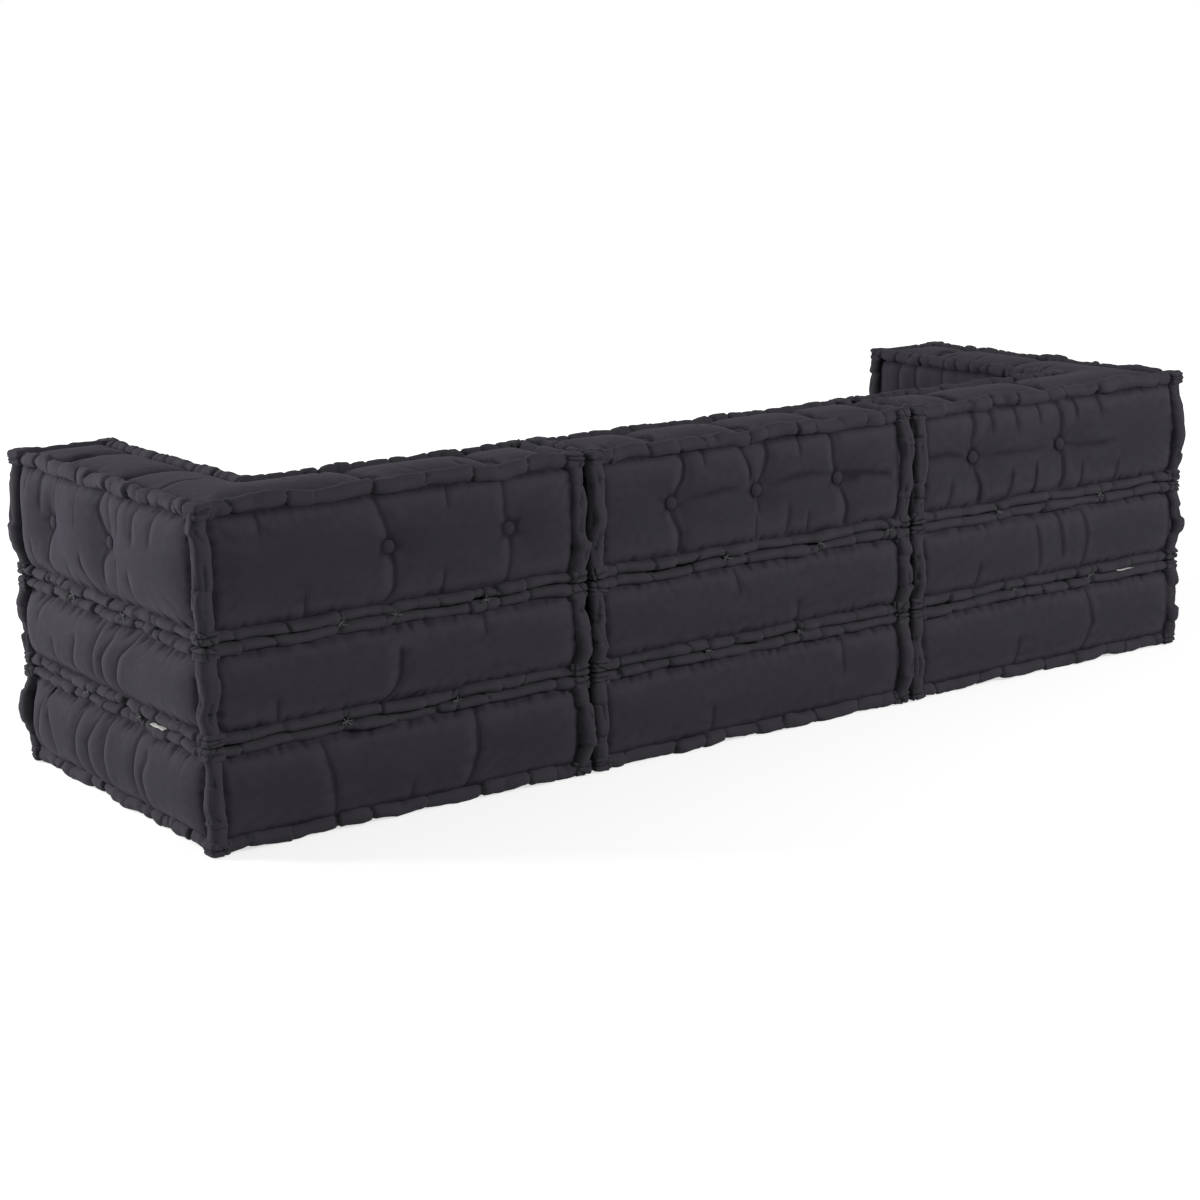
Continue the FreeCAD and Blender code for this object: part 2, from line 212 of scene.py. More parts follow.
# A roll's stitches, the neck at each end of it, and the tugs of the thread on its inner side
STITCH_MARGIN = 0.014
LINK_CHANGE = 0.007
STITCH_WIDTHS = (0.0018, 0.0032)
STITCH_SLANT = 0.55
STITCH_FLANK = 3.2
GATHER_FADE = 0.008
ROLL_END = 0.03
NECK_AT = 0.0185
NECK_WIDTH = 0.0030
NECK_DEPTH = 0.20
TUG_DEPTHS = (0.06, 0.20)
TUG_SPACING = (0.016, 0.034)
TUG_WIDTH = 0.006
ROLL_NAP = 0.0005
ROLL_WAVE = 0.05
ROLL_OVAL = 0.06
CREASE_TURN = 1.3
ROLL_CREASE_DEPTH = 0.0026
ROLL_CREASE_UNEVENNESS = 0.0014
ROLL_CREASE_ANGLE = 0.20
STAR_PINCH = (0.16, 0.26)
CUFF_PINCH = (0.06, 0.18)
CUFF_SPREAD = (0.9, 1.2)

# Knots at the corners, and how far a seam's rolls wander up and down together
KNOT_SIZE = 0.0185
KNOT_HEIGHT = 0.0136
PRESSED_KNOT_HEIGHT = 0.0118
SEAM_WANDER = 0.0014
SEAM_WAVE = 0.31

# The modules' sizes, between the centres of their knots
base_low, base_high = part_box("middle_base_edge_rolls")
back_low, back_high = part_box("middle_back_edge_rolls")
MODULE_SIDE = base_high.x - base_low.x - 2 * (CORNER_BOW_U + ROLL_RADIUS)
HALF_SIDE = MODULE_SIDE / 2
ARM_DEPTH = back_high.y - back_low.y - 2 * (CORNER_BOW_V + ROLL_RADIUS)
MODULE_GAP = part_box("left_base_edge_rolls")[0].x - base_high.x

# How far inside a pad's outline its hidden flats start, and how far a module may reach sideways
FLAT_MARGIN = 0.040
NEIGHBOUR_CLEARANCE = 0.0004
NEIGHBOUR_LIMIT = CORNER_BOW_U + ROLL_RADIUS + MODULE_GAP / 2 - NEIGHBOUR_CLEARANCE

# How near two places are to be the same, and two columns or rows of a net, and a distance that is
# larger than the sofa
SAME = 1e-5
SAME_COLUMN = 1e-4
FAR = 10.0


# Folds and creases

class Fold:
    """A line up a face where the canvas is drawn in, with a fuller lip on the rear side of it."""

    def __init__(self, line, depth, lip=0.0):
        line = sorted(line, key=lambda point: point[1])
        self.places = np.array([place for place, share in line], float)
        self.shares = np.array([share for place, share in line], float)
        self.depth = depth
        self.lip = lip
        self.steep = STEEP_FLANK + STEEP_GROWTH * depth
        self.gentle = GENTLE_FLANK + GENTLE_GROWTH * depth
        self.hold = min(MOST_HOLD, LEAST_HOLD + HOLD_GROWTH * depth)
        self.column = 0.0

    @property
    def middle(self):
        return float(self.places.mean())

    def place_at(self, share):
        """Where the fold lies along the side, at a share of the face's height."""
        return float(np.interp(share, self.shares, self.places))

    def strength(self, share):
        """One along the fold, fading past an end that isn't in a seam."""
        below = np.clip((self.shares[0] - share) / FOLD_FADE, 0, 1)
        above = np.clip((share - self.shares[-1]) / FOLD_FADE, 0, 1)
        kept = (1 - below) * (1 - above)
        return kept * kept * (3 - 2 * kept)


class Crease:
    """A short fold in any direction, through points of a face."""

    def __init__(self, line, depth):
        self.line = line
        self.depth = depth

    def nearness(self, s, z, pad, width):
        """How near points are to the crease, which tapers to both ends."""
        tall = pad.high - pad.low
        stops = [np.array((place, pad.low + share * tall)) for place, share in self.line]
        near = np.full(len(s), FAR)
        progress = np.zeros(len(s))
        spots = np.stack([s, z], 1)
        for i, (start, end) in enumerate(zip(stops, stops[1:])):
            run = end - start
            share = np.clip((spots - start) @ run / (run @ run), 0, 1)
            away = np.linalg.norm(spots - start - share[:, None] * run, axis=1)
            closer = away < near
            near = np.where(closer, away, near)
            progress = np.where(closer, (i + share) / (len(stops) - 1), progress)
        return bell(near / width) * np.sqrt(np.clip(np.sin(np.pi * progress), 0, 1))


# Folds that the photograph shows. Each is a line of (place along the side, share of the face's
# height) points from end to end, the depth that it draws in, and the lip on its rear side
FOLDS = {
    ("left", "back", "outer"): [
        (((0.100, 1), (0.122, 0.85), (0.124, 0.72)), 0.003),
        (((0.165, 1), (0.195, 0.83), (0.193, 0.68)), 0.0045),
        (((0.225, 1), (0.258, 0.84), (0.258, 0.70)), 0.0045),
        (((0.283, 1), (0.301, 0.86), (0.296, 0.70)), 0.004),
        (((0.235, 0), (0.262, 0.20), (0.270, 0.33)), 0.0045, 0.002),
        (((0.175, 0), (0.195, 0.12), (0.215, 0.25)), 0.004, 0.002),
        (((0.318, 1), (0.340, 0.78), (0.330, 0.65), (0.310, 0.50), (0.330, 0.32), (0.322, 0.15),
          (0.290, 0)), 0.008, 0.003),
        (((0.410, 1), (0.408, 0.88), (0.400, 0.66)), 0.005, 0.002),
        (((0.360, 0), (0.378, 0.12), (0.400, 0.24)), 0.0035),
        (((0.440, 0), (0.455, 0.14)), 0.0025),
        (((0.492, 1), (0.498, 0.80), (0.508, 0.65), (0.530, 0.50), (0.540, 0.32), (0.545, 0.16),
          (0.515, 0)), 0.008, 0.003),
        (((0.552, 1), (0.560, 0.88), (0.568, 0.68)), 0.004),
        (((0.604, 1), (0.610, 0.83)), 0.003),
        (((0.590, 0), (0.600, 0.22)), 0.003),
    ],
    ("left", "seat", "outer"): [
        (((0.215, 0.86), (0.262, 0.60), (0.280, 0.30), (0.262, 0)), 0.0062, 0.004),
        (((0.290, 0.80), (0.328, 0.50), (0.333, 0.20), (0.305, 0)), 0.0040, 0.002),
        (((0.335, 0.92), (0.362, 0.52), (0.370, 0.25), (0.345, 0)), 0.0055, 0.003),
        (((0.430, 0.55), (0.455, 0.20), (0.405, 0)), 0.0030, 0.001),
        (((0.520, 0.40), (0.527, 0.22), (0.490, 0)), 0.0025),
        (((0.560, 1), (0.580, 0.72)), 0.0018),
    ],
    ("left", "base", "outer"): [
        (((0.182, 0.72), (0.203, 0.48), (0.195, 0)), 0.0032, 0.001),
        (((0.222, 1), (0.236, 0.47), (0.225, 0.10)), 0.0044, 0.002),
        (((0.325, 1), (0.345, 0.49), (0.335, 0)), 0.0062, 0.004),
        (((0.372, 0.85), (0.408, 0.55), (0.408, 0.36), (0.380, 0)), 0.0042, 0.002),
        (((0.425, 1), (0.456, 0.56), (0.462, 0.33), (0.430, 0)), 0.0052, 0.003),
        (((0.545, 0.30), (0.562, 0.62)), 0.0025),
        (((0.560, 1), (0.600, 0.63), (0.618, 0.37), (0.606, 0)), 0.0060, 0.004),
    ],
    ("left", "back", "rear"): [
        (((0.285, 1), (0.300, 0.75), (0.310, 0.60), (0.310, 0.50), (0.318, 0.36), (0.316, 0.15),
          (0.300, 0)), 0.0045),
        (((0.520, 1), (0.520, 0.65), (0.530, 0.50), (0.530, 0.30), (0.522, 0)), 0.0022),
        (((0.085, 1), (0.090, 0.85)), 0.002),
        (((0.165, 0), (0.160, 0.14)), 0.0015),
        (((0.420, 1), (0.415, 0.86)), 0.0018),
        (((0.400, 0), (0.405, 0.15)), 0.0018),
    ],
    ("left", "seat", "rear"): [
        (((0.322, 0.62), (0.318, 0.32), (0.300, 0.08), (0.288, 0)), 0.0038),
        (((0.110, 0), (0.105, 0.25)), 0.0018),
        (((0.480, 1), (0.478, 0.78)), 0.0018),
    ],
    ("left", "base", "rear"): [
        (((0.178, 1), (0.192, 0.55), (0.198, 0.20)), 0.0028),
        (((0.458, 0.90), (0.456, 0.50), (0.437, 0.10), (0.430, 0)), 0.0042),
        (((0.330, 0), (0.335, 0.20)), 0.0015),
    ],
    ("middle", "back", "rear"): [
        (((0.165, 1), (0.178, 0.85), (0.173, 0.70), (0.150, 0.50), (0.154, 0.38), (0.166, 0.22),
          (0.169, 0)), 0.0075),
        (((0.290, 1), (0.306, 0.82), (0.318, 0.68)), 0.005),
        (((0.348, 1), (0.354, 0.82), (0.345, 0.66), (0.330, 0.50), (0.328, 0.40)), 0.006),
        (((0.490, 1), (0.498, 0.84), (0.500, 0.68), (0.510, 0.50), (0.522, 0.36), (0.531, 0.22),
          (0.528, 0)), 0.0075),
        (((0.330, 0), (0.325, 0.18)), 0.0025),
        (((0.395, 0), (0.398, 0.25)), 0.002),
        (((0.445, 0), (0.440, 0.15)), 0.002),
        (((0.215, 1), (0.218, 0.90)), 0.003),
        (((0.420, 1), (0.423, 0.88)), 0.0025),
    ],
    ("middle", "seat", "rear"): [
        (((0.280, 1), (0.286, 0.70)), 0.0015),
        (((0.420, 0), (0.415, 0.30)), 0.0018),
    ],
    ("middle", "base", "rear"): [
        (((0.230, 0), (0.226, 0.35)), 0.0018),
        (((0.520, 1), (0.516, 0.60)), 0.0018),
    ],
    ("right", "back", "rear"): [
        (((0.530, 1), (0.528, 0.82), (0.534, 0.64), (0.530, 0.50), (0.524, 0.36), (0.514, 0.22),
          (0.510, 0)), 0.006),
        (((0.322, 1), (0.308, 0.80), (0.306, 0.62), (0.310, 0.50), (0.301, 0.34), (0.300, 0.16),
          (0.308, 0)), 0.007),
        (((0.490, 1), (0.484, 0.82)), 0.0035),
        (((0.430, 1), (0.424, 0.80)), 0.0035),
        (((0.372, 1), (0.366, 0.84)), 0.003),
        (((0.278, 1), (0.270, 0.84)), 0.003),
        (((0.215, 1), (0.208, 0.84)), 0.0028),
        (((0.440, 0), (0.436, 0.22)), 0.003),
        (((0.375, 0), (0.372, 0.26)), 0.003),
        (((0.250, 0), (0.255, 0.20)), 0.0025),
        (((0.160, 0), (0.162, 0.16)), 0.002),
        (((0.590, 0), (0.586, 0.20)), 0.0025),
    ],
    ("right", "seat", "rear"): [
        (((0.250, 1), (0.240, 0.55), (0.246, 0.15)), 0.0022),
        (((0.310, 0.90), (0.304, 0.35)), 0.0024),
        (((0.370, 0.75), (0.362, 0.25)), 0.002),
        (((0.520, 0), (0.516, 0.35)), 0.0018),
    ],
    ("right", "base", "rear"): [
        (((0.240, 0.15), (0.222, 0.50), (0.232, 0.90)), 0.0022),
        (((0.420, 0), (0.416, 0.40)), 0.0018),
    ],
}

# Short creases that run out from the tufts, as (place, share of the height) points and a depth
CREASES = {
    ("middle", "back", "rear"): [
        (((0.165, 0.49), (0.213, 0.54), (0.255, 0.56), (0.300, 0.55)), 0.0030),
        (((0.350, 0.52), (0.400, 0.58), (0.450, 0.59), (0.495, 0.55)), 0.0030),
        (((0.520, 0.53), (0.565, 0.52), (0.635, 0.47)), 0.0045),
        (((0.520, 0.49), (0.560, 0.46)), 0.0035),
    ],
    ("right", "back", "rear"): [
        (((0.650, 0.55), (0.600, 0.57), (0.548, 0.52)), 0.0038),
        (((0.512, 0.49), (0.460, 0.51), (0.405, 0.49), (0.335, 0.50)), 0.0026),
        (((0.292, 0.48), (0.250, 0.46), (0.200, 0.46), (0.150, 0.47)), 0.0028),
    ],
}


# Plans and levels

def levels_of(pad):
    """The heights of the centre lines of a pad's lower and upper rolls."""
    low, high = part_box(f"middle_{pad}_edge_rolls")
    return low.z + ROLL_RADIUS, high.z - ROLL_RADIUS


class Side:
    """One upright side of a pad: a straight run of its plan and the way that it faces."""

    def __init__(self, name, start, end, out, bulge=None):
        self.name = name
        self.start = np.array(start, float)
        self.end = np.array(end, float)
        self.out = np.array(out, float)
        self.length = float(np.linalg.norm(self.end - self.start))
        self.along = (self.end - self.start) / self.length
        faces_x = abs(self.out[0]) > 0.5
        usual = BULGE_U if faces_x else BULGE_V
        self.bow = CORNER_BOW_U if faces_x else CORNER_BOW_V
        self.bulge = bulge or usual
        self.tuft_floor = usual - TUFT_DEPTH
        self.folds = []
        self.creases = []
        self.tufts = []

    def members(self, rest):
        """Which points of the unshaped pad lie on this side, and how far along it."""
        offset = rest[:, :2] - self.start
        s = offset @ self.along
        on_side = np.abs(offset @ self.out) < SAME
        inside = (s > -SAME) & (s < self.length + SAME)
        return on_side & inside, s

    def place_along(self, points):
        """How far along this side shaped points lie."""
        return (points[:, :2] - self.start) @ self.along


class Pad:
    """The plan and the levels of one stuffed pad of a module."""

    def __init__(self, module, pad):
        self.module = module
        self.pad = pad
        self.low, self.high = levels_of(pad)
        whole = MODULE_SIDE
        deep = ARM_DEPTH
        free = OUTER_BULGE if self.is_end else None
        rear = Side("rear", (0, 0), (whole, 0), (0, -1))
        outer = Side("outer", (0, 0), (0, whole), (-1, 0), free)
        if pad != "back":
            self.cells = [(0, 0, whole, whole)]
            self.sides = [rear, outer,
                          Side("inner", (whole, 0), (whole, whole), (1, 0)),
                          Side("front", (0, whole), (whole, whole), (0, 1))]
        elif module == "middle":
            self.cells = [(0, 0, whole, deep)]
            self.sides = [rear,
                          Side("outer", (0, 0), (0, deep), (-1, 0)),
                          Side("inner", (whole, 0), (whole, deep), (1, 0)),
                          Side("front", (0, deep), (whole, deep), (0, 1))]
        else:
            self.cells = [(0, 0, deep, deep), (deep, 0, whole, deep), (0, deep, deep, whole)]
            self.sides = [rear, outer,
                          Side("inner", (whole, 0), (whole, deep), (1, 0)),
                          Side("front", (deep, deep), (whole, deep), (0, 1)),
                          Side("arm_inner", (deep, deep), (deep, whole), (1, 0)),
                          Side("arm_front", (0, whole), (deep, whole), (0, 1))]
        for number, side in enumerate(self.sides):
            key = (module, pad, side.name)
            side.tufts = tuft_marks(self, side)
            side.creases = [Crease(*values) for values in CREASES.get(key, [])]
            if key in FOLDS:
                side.folds = [Fold(*values) for values in FOLDS[key]]
            else:
                side.folds = chance_folds(side, random.Random(self.seed(80 + number)))
            side.folds.sort(key=lambda fold: fold.middle)

    @property
    def name(self):
        return f"{self.module}_{self.pad}"

    @property
    def is_end(self):
        return self.module != "middle"

    def seed(self, extra=0):
        """A steady seed for this pad."""
        return 1000 * MODULES.index(self.module) + 100 * PADS.index(self.pad) + extra

    def convex_corners(self):
        """The plan's corners that have an upright roll."""
        corners = []
        for side in self.sides:
            for point in (side.start, side.end):
                known = any(np.allclose(point, other) for other in corners)
                knee = self.pad == "back" and self.is_end and np.allclose(point, ARM_DEPTH)
                if not known and not knee:
                    corners.append(point)
        return corners

    def to_world(self, points):
        """Plan points as points of the sofa's own frame."""
        centre = module_centre(self.module)
        sign = module_sign(self.module)
        placed = np.array(points, float).reshape(-1, 3).copy()
        placed[:, 0] = centre + sign * (HALF_SIDE - placed[:, 0])
        placed[:, 1] = HALF_SIDE - placed[:, 1]
        return placed


def roll_is_pressed(pad, side, upper):
    """Whether another pad's roll lies against this one."""
    if pad.pad == "base":
        return upper
    if pad.pad == "back":
        return not upper
    return not upper or side.name == "rear" or (side.name == "outer" and pad.is_end)


def rounded(distance, hold, reach):
    """A swell that starts where a seam's hold ends and rounds off to one."""
    share = np.clip((distance - hold) / reach, 0, 1)
    return np.sqrt(1 - (1 - share) ** 2)


def module_centre(module):
    """Where a module stands along the sofa."""
    low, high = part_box(f"{module}_base_edge_rolls")
    return (low.x + high.x) / 2


def module_sign(module):
    """One for a module whose outer side faces +X, and minus one for its mirror image."""
    return -1.0 if module == "right" else 1.0


def body_of_module(module):
    """The name of the body that a module is."""
    return f"{module}_module"


# Wavy lines and noise

def wavy(s, rng, longest, shortest, count=5):
    """A smooth uneven line between about -1 and 1, as a sum of a few sines."""
    total = np.zeros_like(s)
    weight = 0.0
    for i in range(count):
        share = i / max(1, count - 1)
        length = longest * (shortest / longest) ** share * rng.uniform(0.85, 1.15)
        strength = (length / longest) ** 0.6
        total = total + strength * np.sin(2 * np.pi * s / length + rng.uniform(0, 2 * np.pi))
        weight += strength
    return total * 1.6 / weight


def bell(x):
    """A smooth bump of height one at zero."""
    return np.exp(-x * x)


def mesh_points(mesh):
    """A mesh's points as an array."""
    points = np.empty(len(mesh.vertices) * 3)
    mesh.vertices.foreach_get("co", points)
    return points.reshape(-1, 3)


def set_mesh_points(mesh, points):
    """Moves a mesh's points."""
    mesh.vertices.foreach_set("co", np.ascontiguousarray(points, np.float32).ravel())
    mesh.update()


def link_object(name, mesh):
    """A new object of the scene."""
    obj = bpy.data.objects.new(name, mesh)
    bpy.context.scene.collection.objects.link(obj)
    return obj


def place_in_sofa(obj, pad):
    """Moves a piece's points from its module's plan to the sofa's frame."""
    mesh = obj.data
    set_mesh_points(mesh, pad.to_world(mesh_points(mesh)))
    if module_sign(pad.module) < 0:
        mesh.flip_normals()


# Pads

def net_mesh(name, pad, cell):
    """A net of squares over the pad's sides and top, open where it is hidden, with its rest places."""
    bm = bmesh.new()
    for low_u, low_v, high_u, high_v in pad.cells:
        corners = ((low_u, low_v), (high_u, low_v), (high_u, high_v), (low_u, high_v))
        bm.faces.new([bm.verts.new((u, v, pad.low)) for u, v in corners])
    bmesh.ops.remove_doubles(bm, verts=bm.verts, dist=SAME)
    lifted = bmesh.ops.extrude_face_region(bm, geom=bm.faces[:], use_keep_orig=True)
    top = [item for item in lifted["geom"] if isinstance(item, bmesh.types.BMVert)]
    bmesh.ops.translate(bm, vec=(0, 0, pad.high - pad.low), verts=top)
    bmesh.ops.recalc_face_normals(bm, faces=bm.faces)
    for axis in range(3):
        groups = {}
        for edge in bm.edges:
            run = edge.verts[1].co - edge.verts[0].co
            if abs(run[axis]) > SAME_COLUMN:
                groups.setdefault(round(abs(run[axis]), 3), []).append(edge)
        for length, edges in groups.items():
            cuts = max(1, round(length / cell)) - 1
            if cuts > 0:
                bmesh.ops.subdivide_edges(bm, edges=edges, cuts=cuts, use_grid_fill=True)
    weave = bm.loops.layers.uv.new("Weave")
    rest = bm.verts.layers.float_vector.new("rest")
    for vert in bm.verts:
        vert[rest] = vert.co
    for face in bm.faces:
        flat = max(range(3), key=lambda i: abs(face.normal[i]))
        across, upward = [i for i in range(3) if i != flat]
        for loop in face.loops:
            loop[weave].uv = (loop.vert.co[across], loop.vert.co[upward])
    bm.verts.index_update()
    places = np.array([vert.co for vert in bm.verts])
    deep_inside = distance_to_rim(places, pad) > FLAT_MARGIN
    levels = [pad.low, pad.high] if pad.pad == "base" else [pad.low]
    hidden = []
    for face in bm.faces:
        flat = any(all(abs(vert.co.z - level) < SAME for vert in face.verts) for level in levels)
        if flat and all(deep_inside[vert.index] for vert in face.verts):
            hidden.append(face)
    bmesh.ops.delete(bm, geom=hidden, context="FACES")
    mesh = bpy.data.meshes.new(name)
    bm.to_mesh(mesh)
    bm.free()
    return mesh


def close_hidden_flats(mesh):
    """Closes the pad where it lies flat on another pad or on the floor."""
    bm = bmesh.new()
    bm.from_mesh(mesh)
    rim = [edge for edge in bm.edges if edge.is_boundary]
    bmesh.ops.holes_fill(bm, edges=rim, sides=0)
    bmesh.ops.recalc_face_normals(bm, faces=bm.faces)
    bm.to_mesh(mesh)
    bm.free()


def settle_columns(s, side):
    """Picks the net's column that each fold of a side runs down."""
    columns = np.unique(np.round(s, 5))
    last = 0
    for fold in side.folds:
        wanted = int(np.argmin(np.abs(columns - fold.middle)))
        index = min(max(wanted, last + 2), len(columns) - 2)
        fold.column = float(columns[index])
        last = index


def slide_columns(s, h, side):
    """Slides the net's columns along a side, so that one runs down each fold."""
    slid = s.copy()
    stops = [0.0, *[fold.column for fold in side.folds], side.length]
    for share in np.unique(np.round(h, 5)):
        row = np.abs(h - share) < SAME_COLUMN
        places = [0.0]
        for fold in side.folds:
            places.append(max(fold.place_at(share), places[-1] + LEAST_FOLD_GAP))
        places.append(side.length)
        slid[row] = np.interp(s[row], stops, places)
    return slid


def distance_to_rim(rest, pad):
    """How far each point's plan place is from the pad's outline."""
    near = np.full(len(rest), FAR)
    for side in pad.sides:
        offset = rest[:, :2] - side.start
        s = np.clip(offset @ side.along, 0, side.length)
        foot = side.start + s[:, None] * side.along
        near = np.minimum(near, np.linalg.norm(rest[:, :2] - foot, axis=1))
    return near


def tuft_marks(pad, side):
    """The tufts of one side of a back pad: their places, heights and how far each draws in."""
    if pad.pad != "back":
        return []
    middle = (pad.low + pad.high) / 2
    row = END_TUFTS if pad.is_end else MIDDLE_TUFTS
    if side.name == "rear":
        return [(place, middle, TUFT_SPREAD[pad.module]) for place in row]
    if side.name == "outer" and pad.is_end:
        return [(place, middle, ARM_SPREAD) for place in row]
    if side.name == "front":
        return [(place - side.start[0], middle, ARM_SPREAD) for place in row]
    if side.name == "arm_inner":
        return [(place - side.start[1], middle, ARM_SPREAD) for place in row]
    return []


def chance_folds(side, rng):
    """Folds where the photograph doesn't look: one through each tuft, and uneven ones between."""
    folds = []
    for place, _, _ in side.tufts:
        top = place + rng.uniform(-TUFT_FOLD_WANDER, TUFT_FOLD_WANDER)
        foot = place + rng.uniform(-TUFT_FOLD_WANDER, TUFT_FOLD_WANDER)
        below = (foot + place) / 2 + rng.uniform(-FOLD_WANDER, FOLD_WANDER)
        above = (top + place) / 2 + rng.uniform(-FOLD_WANDER, FOLD_WANDER)
        line = [(foot, 0), (below, 0.25), (place, 0.5), (above, 0.75), (top, 1)]
        folds.append(Fold(line, rng.uniform(*TUFT_FOLDS)))
    place = rng.uniform(0.04, 0.07)
    while place < side.length - 0.04:
        low, high = rng.choice(((0, 1), (0, 0.35), (0.65, 1), (0, 0.3), (0.7, 1), (0.1, 0.9)))
        curve = rng.uniform(-CHANCE_FOLD_CURVE, CHANCE_FOLD_CURVE)
        end = place + rng.uniform(-FOLD_WANDER, FOLD_WANDER)
        line = [(place, low), (place + curve, (low + high) / 2), (end, high)]
        if all(abs(place - mark[0]) > 0.035 for mark in side.tufts):
            folds.append(Fold(line, rng.uniform(*CHANCE_FOLDS)))
        place += rng.uniform(*CHANCE_FOLD_SPACING)
    return folds


def off_edge(distance, fade):
    """Zero right beside a seam, rising to one over the fade."""
    return np.clip((distance - EDGE_HELD) / fade, 0, 1)


def swell_side(points, rest, pad, side, fullness):
    """Pushes one side out, with its tufts, its folds and the hold of its seams."""
    on_side, s_all = side.members(rest)
    s = s_all[on_side]
    z = rest[on_side, 2]
    tall = pad.high - pad.low
    h = (z - pad.low) / tall
    seam = np.minimum(h, 1 - h) * tall
    corner = np.minimum(s, side.length - s)
    hold_low = PRESSED_HOLD if roll_is_pressed(pad, side, False) else SEAM_HOLD
    hold_high = PRESSED_HOLD if roll_is_pressed(pad, side, True) else SEAM_HOLD
    hold = np.where(h < 0.5, hold_low, hold_high)
    face = rounded(seam, hold, np.minimum(FACE_ROUND, tall / 2 - hold))
    face = face * rounded(corner, SEAM_HOLD, min(CORNER_ROUND, side.length / 2 - SEAM_HOLD))
    out = side.bow * 4 * h * (1 - h) * (1 - face) + side.bulge * fullness * face
    free = off_edge(seam, SWELL_FADE) * off_edge(corner, SWELL_FADE)
    settle_columns(s, side)
    slid = slide_columns(s, h, side)
    for fold in side.folds:
        beside = fold.column - s
        held = fold.strength(h) * free
        slope = np.where(beside > 0, fold.steep, fold.gentle)
        out = out - fold.depth * bell(beside / slope) * held
        past = np.clip(beside, 0, None) / LIP_REACH
        out = out + fold.lip * past * np.exp(1 - past) * held
    for crease in side.creases:
        out = out - crease.depth * crease.nearness(slid, z, pad, CREASE_WIDTH) * free
    for place, height, spread in side.tufts:
        upwards = z - height
        if side.name == "outer":
            upwards = np.where(upwards > 0, PIT_STRETCH * upwards, upwards)
        pit = np.exp(-(np.hypot(slid - place, upwards) / spread) ** PIT_SHARPNESS)
        out = out * (1 - pit) + side.tuft_floor * pit
    points[on_side, :2] += out[:, None] * side.out + (slid - s)[:, None] * side.along


def chance_tucks(length, rng):
    """Places where the canvas is tucked in beside a seam, and how deep."""
    tucks = []
    place = rng.uniform(0.015, 0.035)
    while place < length - 0.012:
        tucks.append((place, rng.uniform(*TUCK_DEPTHS)))
        place += rng.uniform(*TUCK_SPACING)
    return tucks


def top_troughs(pad):
    """The lines between a pad's pillows, as (axis, place) pairs, and how far its top rises."""
    if pad.pad == "base":
        return [], 0.0
    if pad.pad == "seat":
        row = SEAT_TUFTS if pad.is_end else MIDDLE_TUFTS
        return [(0, place) for place in row] + [(1, place) for place in SEAT_TUFTS], SEAT_RISE
    row = END_TUFTS if pad.is_end else MIDDLE_TUFTS
    lines = [(0, place) for place in row]
    if pad.is_end:
        lines += [(1, place) for place in row]
    return lines, BACK_RISE


def top_creases(pad, rng):
    """Creases across the top: one in each trough, and shorter chance ones between.

    Each is its axis, its place, its depth, and where it starts and ends on the other axis."""
    whole = (-1, 1)
    lines = [(axis, place, TROUGH_CREASE, *whole) for axis, place in top_troughs(pad)[0]]
    if pad.pad != "back":
        return lines
    for axis in ((0, 1) if pad.is_end else (0,)):
        place = (ARM_DEPTH if pad.is_end else 0) + rng.uniform(0.02, 0.05)
        while place < MODULE_SIDE - 0.03:
            reach = rng.uniform(*CHANCE_CREASE_REACH) * ARM_DEPTH
            span = rng.choice(((-1, reach), (ARM_DEPTH - reach, 1)))
            lines.append((axis, place, rng.uniform(*CHANCE_CREASES), *span))
            place += rng.uniform(*CHANCE_CREASE_SPACING)
    return lines


def at_level(rest, level):
    """Which points of the unshaped pad lie at a level."""
    return np.abs(rest[:, 2] - level) < SAME


def swell_flats(points, rest, pad, fullness):
    """Raises the top into pillows and lowers the underside onto what it lies on."""
    rim = distance_to_rim(rest, pad)
    inner = rim > SAME
    lower = at_level(rest, pad.low) & inner
    upper = at_level(rest, pad.high) & inner
    ramp = np.clip(rim / RIM_RAMP, 0, 1)
    ramp = ramp * ramp * (3 - 2 * ramp)
    points[lower, 2] -= (ROLL_RADIUS * ramp)[lower]
    lines, rise = top_troughs(pad)
    if pad.pad == "base":
        points[upper, 2] += (ROLL_RADIUS * ramp)[upper]
        return
    half = ARM_DEPTH / 2 if pad.pad == "back" else SEAT_DOME
    dome = rounded(rim, SEAM_HOLD, half - SEAM_HOLD)
    lift = (ROLL_RADIUS * DOME_SHARE + rise * fullness) * dome
    for axis, place in lines:
        away = np.abs(rest[:, axis] - place)
        trough = np.exp(-(away / TROUGH_WIDTH) ** TROUGH_SHARPNESS)
        lift = lift - trough * (TROUGH_DEPTH + rise) * off_edge(rim, TROUGH_FADE)
    if pad.pad == "seat":
        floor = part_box(f"{pad.module}_seat_buttons")[1].z - BUTTON_HEIGHT - BUTTON_LIFT - pad.high
        for u, v in seat_tufts_of(pad):
            away = np.hypot(rest[:, 0] - u, rest[:, 1] - v)
            pit = np.exp(-(away / SEAT_SPREAD) ** SEAT_PIT_SHARPNESS)
            lift = lift * (1 - pit) + floor * pit
    under = hidden_by_back(rest, pad)
    lift = np.where(under, ROLL_RADIUS * ramp, lift)
    points[upper, 2] += lift[upper]


def seat_tufts_of(pad):
    """Where buttons draw in the top of a seat."""
    columns = SEAT_TUFTS if pad.is_end else MIDDLE_TUFTS
    return [(u, v) for u in columns for v in SEAT_TUFTS]


